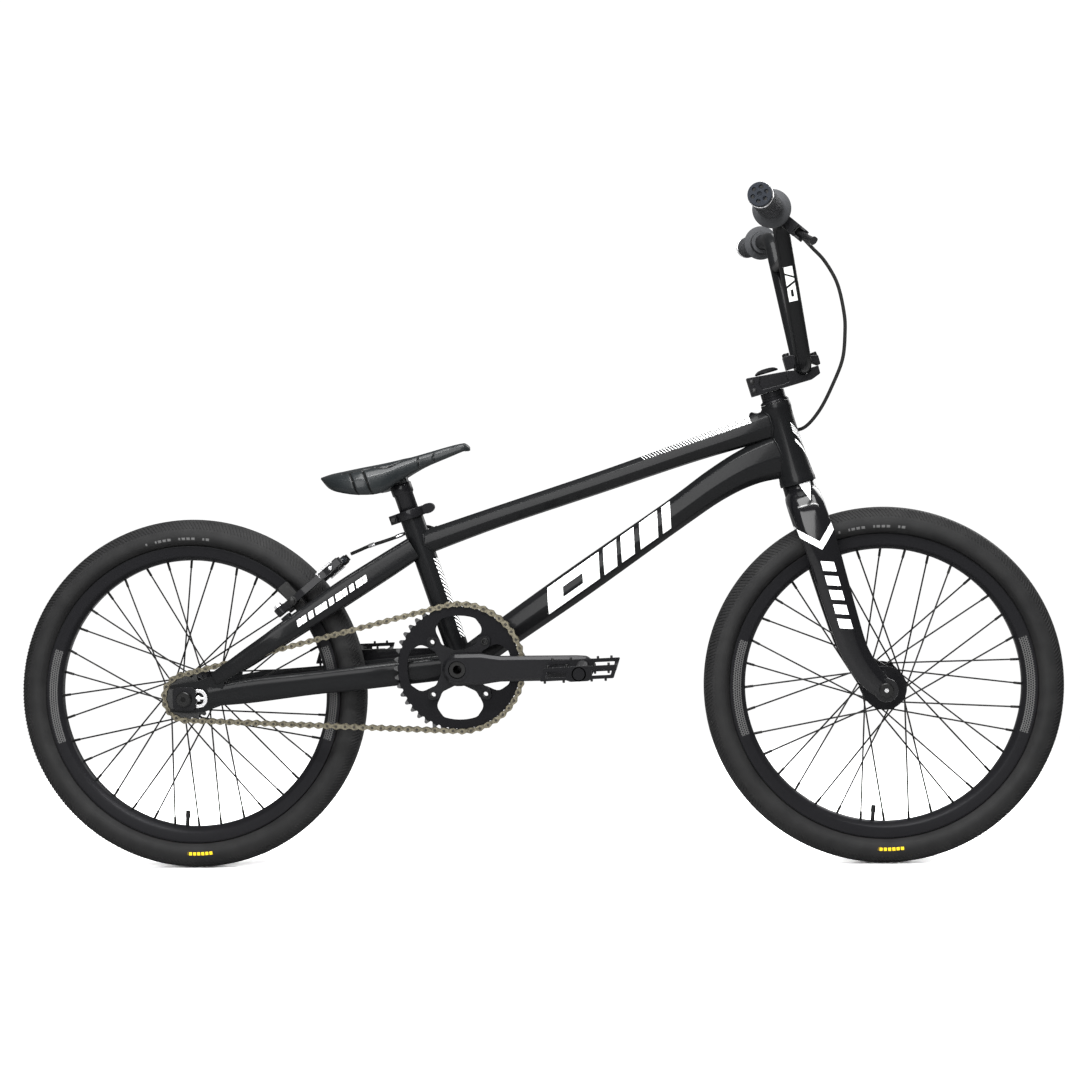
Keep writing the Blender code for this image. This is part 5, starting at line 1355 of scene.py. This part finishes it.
def fork_paint():
    gloss = Finish("gloss_black_fork", (0.0040, 0.0040, 0.0046), 0.18, coat=0.35)
    x, y, z = gloss.xyz()
    height = (z - HEAD_FOOT.z) * cos(HEAD_TILT) - (x - HEAD_FOOT.x) * sin(HEAD_TILT)
    across = (x - HEAD_FOOT.x) * cos(HEAD_TILT) + (z - HEAD_FOOT.z) * sin(HEAD_TILT)
    vee = height - abs(across - 0.004) * 0.95
    outside = abs(y) > 0.050
    chevron = vee.within(-0.0940, -0.0825) + (abs(across - 0.008) * 2.9 - height < 0.025) * (height > -0.046)
    lean = height + across * 0.35
    bars = lean.within(-0.2055, -0.1045) * (lean.repeat(0.0205) < 0.66) * (abs(across - 0.0060) < 0.0085)
    mask = (chevron + bars * outside).math("MINIMUM", 1.0)
    gloss.feed("Base Color", gloss.mix(gloss.colour, DECAL_WHITE, mask))
    gloss.feed("Roughness", gloss.noise(20) * 0.06 + 0.15)
    return gloss


def make_fork():
    right = [((x, -y, z), w, h) for (x, y, z), w, h in reversed(FORK_LEG)]
    arch = right + [((0.0010, 0.0, -0.0215), 0.0245, 0.0178)] + FORK_LEG
    blades = lofted(arch, softened(FORK_SHAPE, 0.35), side=Vector((1, 0, 0)), steps=5)
    steerer = rod([(-0.0250, 0.0143), (-0.0249, 0.0225), (-0.0010, 0.0225), (-0.0004, 0.0219),
                   (-0.0003, 0.0143), (0.1560, 0.0143)], 48)
    whole = in_frame(merged(blades, steerer), STEER)
    ends = []
    for sign in (1, -1):
        span = outwards(sign, FORK_OLD + 0.001, FORK_OLD + 0.0120)
        ends.append(in_frame(rod([(span[0], 0.0160), (span[0] + 0.0008, 0.0165), (span[1] - 0.0008, 0.0165),
                                  (span[1], 0.0160)], 48), FRONT))
    return merged(whole, *ends)


present("fork_moulding", make_fork(), fork_paint(), "steering", "fork", sharp=50)
head = FORK_OLD + 0.0131
cap = [(0.0030, head - 0.0005), (0.0030, head + 0.0040), (0.0088, head + 0.0040), (0.0100, head + 0.0028),
       (0.0100, head), (0.0050, head), (0.0050, head - 0.0005)]
front_ends = [in_frame(turned(cap, 40), Matrix.Rotation(turn, 4, "X")) for turn in (0, pi)]
tube = turned([(0.0050, -head), (0.0050, head), (0.0030, head), (0.0030, -head)], 32)
present("front_axle_bolts", merged(tube, *front_ends), bolt_black, "steering", "front_axle", frame=FRONT)
for side, sign in (("right", 1), ("left", -1)):
    plug = rod(sorted([(sign * (head + 0.0006), 0.0029), (sign * (head + 0.0034), 0.0029)]), 24)
    present("front_axle_centre_" + side, plug, steel, "steering", frame=FRONT)


# ------------------------------------------------------------------ stem and top cap
# A machined block clamps the steerer at its rear and takes the bar from above under a bolted cap.
# Its flanks are milled out between the clamps.
BAR_REACH, BAR_RISE, BAR_RADIUS = 0.050, 0.1545, 0.0111
BAR_CENTRE = STEER @ Vector((BAR_REACH, 0, BAR_RISE))
UPRIGHT = STEER @ Matrix.Rotation(pi / 2, 4, "X")
STEM_HALF = 0.0215


def seat_arc(start, end, steps=12):
    return arc(BAR_REACH, BAR_RISE, BAR_RADIUS + GAP, start, end, steps)


stem_core = [(-0.0290, 0.1334), (0.0580, 0.1340), (0.0700, 0.1385), (0.0705, 0.1500), *seat_arc(-24, -168),
             (0.0280, 0.1545), (-0.0296, 0.1605)]
stem_side = [(-0.0290, 0.1334), (0.0580, 0.1340), (0.0700, 0.1385), (0.0705, 0.1500), *seat_arc(-24, -168),
             (0.0280, 0.1545), (0.0240, 0.1490), (0.0260, 0.1400), (0.0180, 0.1385), (-0.0120, 0.1395),
             (-0.0150, 0.1480), (-0.0120, 0.1545), (-0.0100, 0.1585), (-0.0296, 0.1605)]
cheeks = [plate(stem_side, *outwards(sign, STEM_HALF - 0.0035, STEM_HALF)) for sign in (1, -1)]
core = plate(stem_core, -STEM_HALF + 0.0030, STEM_HALF - 0.0030)
present("stem_body", merged(core, *cheeks), black_alloy, "steering", "stem", frame=UPRIGHT, bevel=0.0009)
stem_lid = [(0.0270, 0.1556), *seat_arc(172, 18), (0.0705, 0.1508), (0.0740, 0.1510), (0.0740, 0.1640),
            (0.0640, 0.1665), (0.0580, 0.1715), (0.0420, 0.1725), (0.0370, 0.1745), (0.0270, 0.1745)]
present("stem_lid", plate(stem_lid, -STEM_HALF, STEM_HALF), black_alloy, "steering", "stem_cap",
        frame=UPRIGHT, bevel=0.0012)
stem_bolts = bmesh.new()
for x, z, lean in ((0.0320, 0.1740, 0.02), (0.0690, 0.1650, -0.12)):
    for y in (-0.0145, 0.0145):
        bolt = turned([(0.0022, 0.0010), (0.0022, 0.0045), (0.0040, 0.0045), (0.0045, 0.0038),
                       (0.0045, -0.0020), (0.0022, -0.0020)], 28)
        bolt.transform(Matrix.Translation((x, y, z)) @ Matrix.Rotation(lean, 4, "Y"))
        spare = bpy.data.meshes.new("spare")
        bolt.to_mesh(spare)
        bolt.free()
        stem_bolts.from_mesh(spare)
        bpy.data.meshes.remove(spare)
present("stem_lid_bolts", stem_bolts, bolt_black, "steering", frame=STEER)
rear_bolts = merged(*[in_frame(rod([(-0.0222, 0.0030), (-0.0218, 0.0036), (-0.0160, 0.0036)], 24),
                               STEER @ Matrix.Translation((-0.0235, 0, z)) @ Matrix.Rotation(-pi / 2, 4, "X"))
                      for z in (0.1400, 0.1530)])
present("stem_pinch_bolts", rear_bolts, bolt_black, "steering")
dome = [(0.1600, 0.0160), (0.1612, 0.0165), (0.1622, 0.0164), (0.1645, 0.0130), (0.1655, 0.0110),
        (0.1664, 0.0045), (0.1650, 0.0040), (0.1650, 0.0010)]
present("top_cap_dome", rod(dome, 48), black_alloy, "steering", "top_cap", frame=STEER)


# ------------------------------------------------------------------ handlebar
# One bent tube with a brace welded between its uprights, satin black.
# A pale lozenge sits on the front of each upright.
BAR_END = Vector((0.3176, 0.3556, 0.8954))
BAR_BEND = Vector((0.3487, 0.150, 0.8880))
flip = Matrix.Diagonal((1, -1, 1))


def rounded_path(corners, radius, steps):
    """Replaces each inner corner of a path with an arc."""
    path = [corners[0]]
    for a, b, c in zip(corners, corners[1:], corners[2:]):
        back, ahead = (a - b).normalized(), (c - b).normalized()
        half = acos(max(-1, min(1, back.dot(ahead)))) / 2
        start = b + back * (radius * cos(half) / sin(half))
        centre = b + (back + ahead).normalized() * (radius / sin(half))
        spoke = start - centre
        axis = spoke.cross(ahead).normalized()
        for k in range(steps + 1):
            path.append(centre + Matrix.Rotation((pi - 2 * half) * k / steps, 3, axis) @ spoke)
    return path + [corners[-1]]


def swept(path, radius, sides=32):
    """A round bar along a path; radius may change from point to point."""
    sizes = radius if isinstance(radius, list) else [radius] * len(path)
    rings = []
    across = None
    for i, point in enumerate(path):
        run = (path[min(i + 1, len(path) - 1)] - path[max(i - 1, 0)]).normalized()
        start = across if across else run.orthogonal()
        across = (start - run * start.dot(run)).normalized()
        up = run.cross(across)
        rings.append([point + (across * cos(2 * pi * k / sides) + up * sin(2 * pi * k / sides)) * sizes[i]
                      for k in range(sides)])
    return skin(rings)


foot = BAR_CENTRE + Vector((0, 0.046, 0))
upright_run = (BAR_BEND - foot).normalized()


def bar_marks(x, y, z):
    """A short ladder of blocks on the outer face of each upright."""
    along, across = tube_place(x, z, (BAR_CENTRE.x, BAR_CENTRE.z), (BAR_BEND.x, BAR_BEND.z))
    outer = abs(y) > 0.050 + (z - BAR_CENTRE.z) * 0.542
    block_mark = along.within(0.086, 0.131) * (abs(across) < 0.0058)
    gaps = (along + across * 0.5).within(0.1065, 0.1095) + (along - across * 0.5).within(0.1180, 0.1205)
    gaps = gaps + along.within(0.092, 0.101) * (abs(across) < 0.0018)
    return block_mark * outer * (1 - gaps.math("MINIMUM", 1.0))


half = rounded_path([BAR_CENTRE, foot, BAR_BEND, BAR_END], 0.040, 12)
path = [flip @ point for point in reversed(half)] + half[1:]
brace_at = foot + upright_run * 0.170
brace_start = flip @ brace_at
brace_path = [brace_start.lerp(brace_at, t / 12) for t in range(13)]
brace_sizes = [0.0098, 0.0078] + [0.0064] * 9 + [0.0078, 0.0098]
bar = merged(swept(path, BAR_RADIUS), swept(brace_path, brace_sizes, 24))
present("handlebar_tube", bar, painted("handlebar_paint", bar_marks), "steering", "handlebar", sharp=50)


# ------------------------------------------------------------------ grips and bar ends
# Dark grey lock-on grips: a wide inner flange, rows of small ribs, and a metal ring at each end.
# A pierced plastic cap closes the bar.
grip_rubber = Finish("grip_rubber", (0.034, 0.035, 0.037), 0.72)
grip_rubber.mottle(70, 0.70, 0.10, 1400, 0.00010)
cap_black = Finish("bar_cap_plastic", (0.010, 0.012, 0.016), 0.4)
cap_black.mottle(90, 0.4, 0.1, 1800, 0.00003)


def axes_frame(origin, x_axis, z_axis):
    z = z_axis.normalized()
    x = (x_axis - z * x_axis.dot(z)).normalized()
    turn = Matrix((x, z.cross(x), z)).transposed().to_4x4()
    return Matrix.Translation(origin) @ turn


def grip_frame(sign):
    """At the bar's end, local z outwards along the grip, local x forward and down."""
    end = Vector((BAR_END.x, sign * BAR_END.y, BAR_END.z))
    bend = Vector((BAR_BEND.x, sign * BAR_BEND.y, BAR_BEND.z))
    return axes_frame(end, Vector((0.755, 0, -0.656)), end - bend)


sleeve = [(0.0114, -0.1420), (0.0156, -0.1420), (0.0162, -0.1414), (0.0162, -0.1292), (0.0166, -0.1284),
          (0.0238, -0.1268), (0.0250, -0.1258), (0.0250, -0.1234), (0.0240, -0.1222), (0.0180, -0.1206),
          (0.0158, -0.1180), (0.0148, -0.1150), (0.0148, -0.0130), (0.0154, -0.0110), (0.0154, -0.0002),
          (0.0114, -0.0002)]
for side, sign in (("right", -1), ("left", 1)):
    place = grip_frame(sign)
    rib = block((0.0140, 0.0157), (-0.0013, 0.0013), (-0.1130, -0.1098))
    ribs = studded(rib, 20, grip_rubber, Matrix(), rings=17, spacing=0.0058, turn=radians(9))
    fins = merged(*[turned([(0.0140, z), (0.0160, z + 0.0004),
                            (0.0160, z + 0.0014), (0.0140, z + 0.0018)], 48)
                    for z in (-0.0165, -0.0140)])
    present("grip_sleeve_" + side, merged(turned(sleeve, 64), ribs, fins), grip_rubber, "steering",
            "grip_" + side, frame=place, sharp=40)
    lock = turned([(0.0158, -0.1390), (0.0167, -0.1388), (0.0167, -0.1306), (0.0158, -0.1304)], 48)
    present("grip_lock_ring_" + side, lock, black_alloy, "steering", frame=place)
    bright = turned([(0.0152, -0.0088), (0.0160, -0.0086), (0.0160, -0.0042), (0.0152, -0.0040)], 48)
    present("grip_end_ring_" + side, bright, steel, "steering", frame=place)
    plug = plate(ring_line(0, 0, 0.0148, 48), 0.0002, 0.0032,
                 [ring_line(0.0088 * cos(radians(60 * k)), 0.0088 * sin(radians(60 * k)), 0.0026, 16)
                  for k in range(6)] + [ring_line(0, 0, 0.0030, 16)])
    stub = rod([(-0.0115, 0.0080), (0.0012, 0.0080)], 32)
    present("bar_end_cap_" + side, merged(plug, stub), cap_black, "steering", "bar_plug_" + side,
            frame=place, bevel=0.0005)


# ------------------------------------------------------------------ brake lever
# A hinged alloy clamp holds a short two-finger blade between two ears; the cable leaves a barrel.
# The blade is forged, thick at its hinge and curled at its tip.
GRIP = grip_frame(-1)
LEVER_HINGE = GRIP @ Matrix.Translation((0.0430, 0, -0.1620)) @ Matrix.Rotation(pi / 2, 4, "X")
clamp = turned([(0.0114, -0.1660), (0.0156, -0.1660), (0.0160, -0.1655), (0.0160, -0.1540), (0.0156, -0.1535),
                (0.0114, -0.1535)], 48)
neck = plate(softened([(0.0140, -0.0080), (0.0350, -0.0080), (0.0350, 0.0080), (0.0140, 0.0080)], 0.002),
             -0.1860, -0.1535)
ear_outline = softened([(0.0335, -0.0080), (0.0335, 0.0085), (0.0480, 0.0085), (0.0515, 0.0040),
                        (0.0500, -0.0060), (0.0450, -0.0080)], 0.002)
ears = [in_frame(plate(ear_outline, *span),
                 Matrix.Translation((0, 0, -0.1620)) @ Matrix.Rotation(pi / 2, 4, "X"))
        for span in ((-0.0080, -0.0052), (0.0052, 0.0080))]
barrel = rod([(-0.2060, 0.0036), (-0.2055, 0.0042), (-0.1990, 0.0042), (-0.1985, 0.0050), (-0.1900, 0.0050),
              (-0.1895, 0.0044), (-0.1850, 0.0050)], 24, offset=(0.0290, 0))
pivot_pin = in_frame(rod([(-0.0079, 0.0025), (0.0079, 0.0025)], 20), Matrix.Translation((0.0430, 0, -0.1620))
                     @ Matrix.Rotation(pi / 2, 4, "X"))
present("brake_lever_clamp", merged(clamp, neck, *ears, barrel, pivot_pin), black_alloy, "steering",
        "brake_lever_bracket", frame=GRIP, bevel=0.0005)
blade_line = [((-0.0045, -0.0040), 0.0055), ((0.0030, 0.0010), 0.0060), ((0.0110, 0.0120), 0.0056),
              ((0.0190, 0.0300), 0.0048), ((0.0265, 0.0550), 0.0044), ((0.0315, 0.0800), 0.0042),
              ((0.0345, 0.0980), 0.0044), ((0.0362, 0.1055), 0.0038)]
blade_stations = [((x, z, 0.0), width, 0.0052) for (x, z), width in blade_line]
blade = lofted(blade_stations, softened([(-0.6, 1.0), (-1.0, 0.4), (-1.0, -0.4), (-0.6, -1.0), (0.6, -1.0),
                                         (1.0, -0.4), (1.0, 0.4), (0.6, 1.0)], 0.3),
               side=Vector((1, -0.4, 0)), steps=5)
lever_black = Finish("lever_black", (0.02, 0.02, 0.021), 0.28, metallic=0.7)
lever_black.mottle(60, 0.28, 0.08, 2000, 0.00003)
present("brake_lever_blade", blade, lever_black, "lever", "brake_lever", frame=LEVER_HINGE, sharp=45)


# ------------------------------------------------------------------ brake cable
# One outer housing runs from the lever past the head tube into the top tube, and out again by the seat.
# Metal ferrules cap its ends; the inner wire crosses between the brake arms.
FRONT_ROUTE = [(0.3700, -0.1552, 0.8690), (0.3725, -0.1420, 0.8682), (0.3800, -0.1220, 0.8640),
               (0.3950, -0.1000, 0.8510), (0.4120, -0.0850, 0.8340), (0.4290, -0.0700, 0.8050),
               (0.4385, -0.0550, 0.7660), (0.4400, -0.0450, 0.7390), (0.4375, -0.0300, 0.7060),
               (0.4270, -0.0120, 0.6760), (0.4080, 0.0100, 0.6370), (0.3860, 0.0270, 0.6120),
               (0.3640, 0.0355, 0.6100), (0.3480, 0.0335, 0.6190), (0.3375, 0.0276, 0.6255),
               (0.3295, 0.0209, 0.6269)]
REAR_ROUTE = [(-0.1392, 0.0148, 0.4797), (-0.1500, 0.0200, 0.4825), (-0.1620, 0.0228, 0.4815),
              (-0.1760, 0.0228, 0.4760), (-0.1950, 0.0205, 0.4685), (-0.2150, 0.0190, 0.4620),
              (-0.2350, 0.0230, 0.4560), (-0.2500, 0.0290, 0.4500), (-0.2625, 0.0330, 0.4450)]
housing = Finish("black_cable_housing", (0.016, 0.016, 0.016), 0.36)
housing.mottle(120, 0.36, 0.08, 2600, 0.00003)


def route(points, steps):
    rows = smooth_stations([(point, 0.0, 0.0) for point in points], steps)
    return [row[0] for row in rows]


front_path = route(FRONT_ROUTE, 8)
rear_path = route(REAR_ROUTE, 8)
loop = present("front_brake_housing", swept(front_path, 0.0025, 16), housing, None,
               "brake_housing_front", sharp=60)
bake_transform(loop)
present("rear_brake_housing", swept(rear_path, 0.0025, 16), housing, "frame", "brake_housing_rear", sharp=60)


def ferrule(path, at, length):
    run = (path[at + 1] - path[at]).normalized()
    centre = path[at]
    return swept([centre - run * length / 2, centre - run * length * 0.4, centre + run * length * 0.4,
                  centre + run * length / 2], [0.0027, 0.0031, 0.0031, 0.0027], 20)


present("rear_housing_ferrules", merged(ferrule(rear_path, 30, 0.012), ferrule(rear_path, 46, 0.010)), steel,
        "frame")
for name, start, end, size in (
        ("front_cable_port", (0.3120, 0.0060, 0.6300), (0.3290, 0.0205, 0.6270), 0.0050),
        ("rear_cable_port", (-0.118, 0.0060, 0.4720), (-0.1385, 0.0145, 0.4795), 0.0050)):
    start, end = Vector(start), Vector(end)
    run = end - start
    boss = rod([(0, size), (run.length - 0.001, size), (run.length, size - 0.0008)], 28)
    present(name, boss, satin, "frame",
            frame=Matrix.Translation(start) @ run.to_track_quat("Z", "Y").to_matrix().to_4x4())


# ------------------------------------------------------------------ rim brake
# Two forged arms stand on the seat stays and press a rubber block each on the rim.
# A spring cover, a pad bolt with its washers and a cable clamp are fixed to each arm.
ARM_FOOT = Vector((-0.3513, 0, 0.3707))
ARM_HEAD = Vector((-0.2650, 0, 0.4420))
BOSS_Y = 0.0400
pad_rubber = Finish("brake_pad_rubber", (0.02, 0.02, 0.02), 0.7)
pad_rubber.mottle(80, 0.7, 0.1, 1500, 0.0001)


def brake_frame(sign):
    """At the pivot: local x up the arm, local y out to the side."""
    run = (ARM_HEAD - ARM_FOOT).normalized()
    out = Vector((0, sign, 0))
    turn = Matrix((run, out, run.cross(out))).transposed().to_4x4()
    return Matrix.Translation((ARM_FOOT.x, sign * BOSS_Y, ARM_FOOT.z)) @ turn


for side, sign in (("right", -1), ("left", 1)):
    place = brake_frame(sign)
    body = side + "_brake_arm"
    arm_line = softened([(-0.0080, -0.0070), (0.0080, -0.0070), (0.0250, -0.0030), (0.0420, -0.0050),
                         (0.0800, -0.0095), (0.1060, -0.0125), (0.1100, -0.0100), (0.1095, -0.0030),
                         (0.0800, -0.0010), (0.0420, 0.0060), (0.0080, 0.0080), (-0.0080, 0.0080)], 0.003)
    forged = plate(arm_line, -0.0050, 0.0050, [ring_line(0, 0, 0.0046, 20)])
    cover = turned([(0.0082, -0.0062), (0.0088, -0.0055), (0.0088, 0.0055), (0.0082, 0.0062),
                    (0.0046, 0.0062), (0.0046, -0.0062)], 36)
    stud = plate([(0.0165, -0.0120), (0.0265, -0.0120), (0.0265, -0.0030), (0.0165, -0.0030)],
                 -0.0045, 0.0045)
    present(f"brake_{side}_forging", merged(forged, cover, stud), black_alloy, body, "brake_arm_" + side,
            frame=place, bevel=0.0007)
    holder = block((0.0135, 0.0275), (-0.0175, -0.0115), (-0.0265, 0.0245))
    block_pad = plate(softened([(-0.0280, 0.0122), (0.0260, 0.0122),
                                (0.0260, 0.0288), (-0.0280, 0.0288)], 0.003),
                      -0.0230, -0.0170)
    block_pad.transform(Matrix(((0, 1, 0, 0), (0, 0, 1, 0), (1, 0, 0, 0), (0, 0, 0, 1))))
    present(f"brake_{side}_pad", merged(holder, block_pad), pad_rubber, body, frame=place, bevel=0.0006)
    washers = in_frame(rod([(-0.0120, 0.0060), (-0.0100, 0.0066), (0.0078, 0.0066), (0.0080, 0.0046),
                            (0.0120, 0.0046), (0.0125, 0.0038)], 28),
                       Matrix.Translation((0.0215, 0, 0)) @ Matrix.Rotation(-pi / 2, 4, "X"))
    present(f"brake_{side}_pad_bolt", washers, bolt_black, body, frame=place)
    pivot_bolt = rod(sorted([(sign * 0.0064, 0.0060), (sign * 0.0100, 0.0055)]), 28)
    present(f"brake_{side}_pivot_bolt", pivot_bolt, steel, "frame", frame=place)
    clamp_nut = in_frame(rod([(-0.0065, 0.0046), (0.0065, 0.0046)], 6),
                         Matrix.Translation((0.1020, -0.0075, 0)))
    present(f"brake_{side}_cable_clamp", clamp_nut, bolt_black, body, frame=place, bevel=0.0004)
    link = merged(block((0.0700, 0.0960), (-0.0030, 0.0006), (-0.0078, -0.0050)),
                  block((0.0640, 0.0720), (-0.0030, 0.0006), (-0.0050, 0.0015)),
                  in_frame(rod([(-0.0045, 0.0030), (0.0028, 0.0030)], 6),
                           Matrix.Translation((0.0920, 0, 0)) @ Matrix.Rotation(-pi / 2, 4, "X")))
    present(f"brake_{side}_link", link, steel, body, frame=place, bevel=0.0004)
CABLE_HEAD = Vector((0.1040, -0.0075, 0.0))    # where the wire meets an arm, in the arm's own frame
left_head = brake_frame(1) @ CABLE_HEAD
right_head = brake_frame(-1) @ CABLE_HEAD
middle = left_head.lerp(right_head, 0.5) + Vector((0.001, 0, 0.002))
for side, end in (("right", right_head), ("left", left_head)):
    wire_line = swept([end, end.lerp(middle, 0.5), middle], [0.0008] * 3, 8)
    wire_half = present("brake_inner_wire_" + side, wire_line, steel, None)
    side + "_brake_arm"
    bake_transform(wire_half)
boot_line = [left_head.lerp(right_head, 0.10 + 0.030 * k) for k in range(9)]
boot_sizes = [0.0030 if k % 2 else 0.0038 for k in range(9)]
present("brake_cable_boot", swept(boot_line, boot_sizes, 20), cap_black, "left_brake_arm", sharp=70)
for side, sign in (("right", -1), ("left", 1)):
    place = brake_frame(sign)
    foot = plate(softened([(-0.0065, -0.0060), (0.0065, -0.0060),
                           (0.0065, 0.0140), (-0.0065, 0.0140)], 0.002),
                 *outwards(-sign, 0.0095, 0.0240))
    present("brake_boss_foot_" + side, foot, satin, "frame", frame=place, bevel=0.0006)
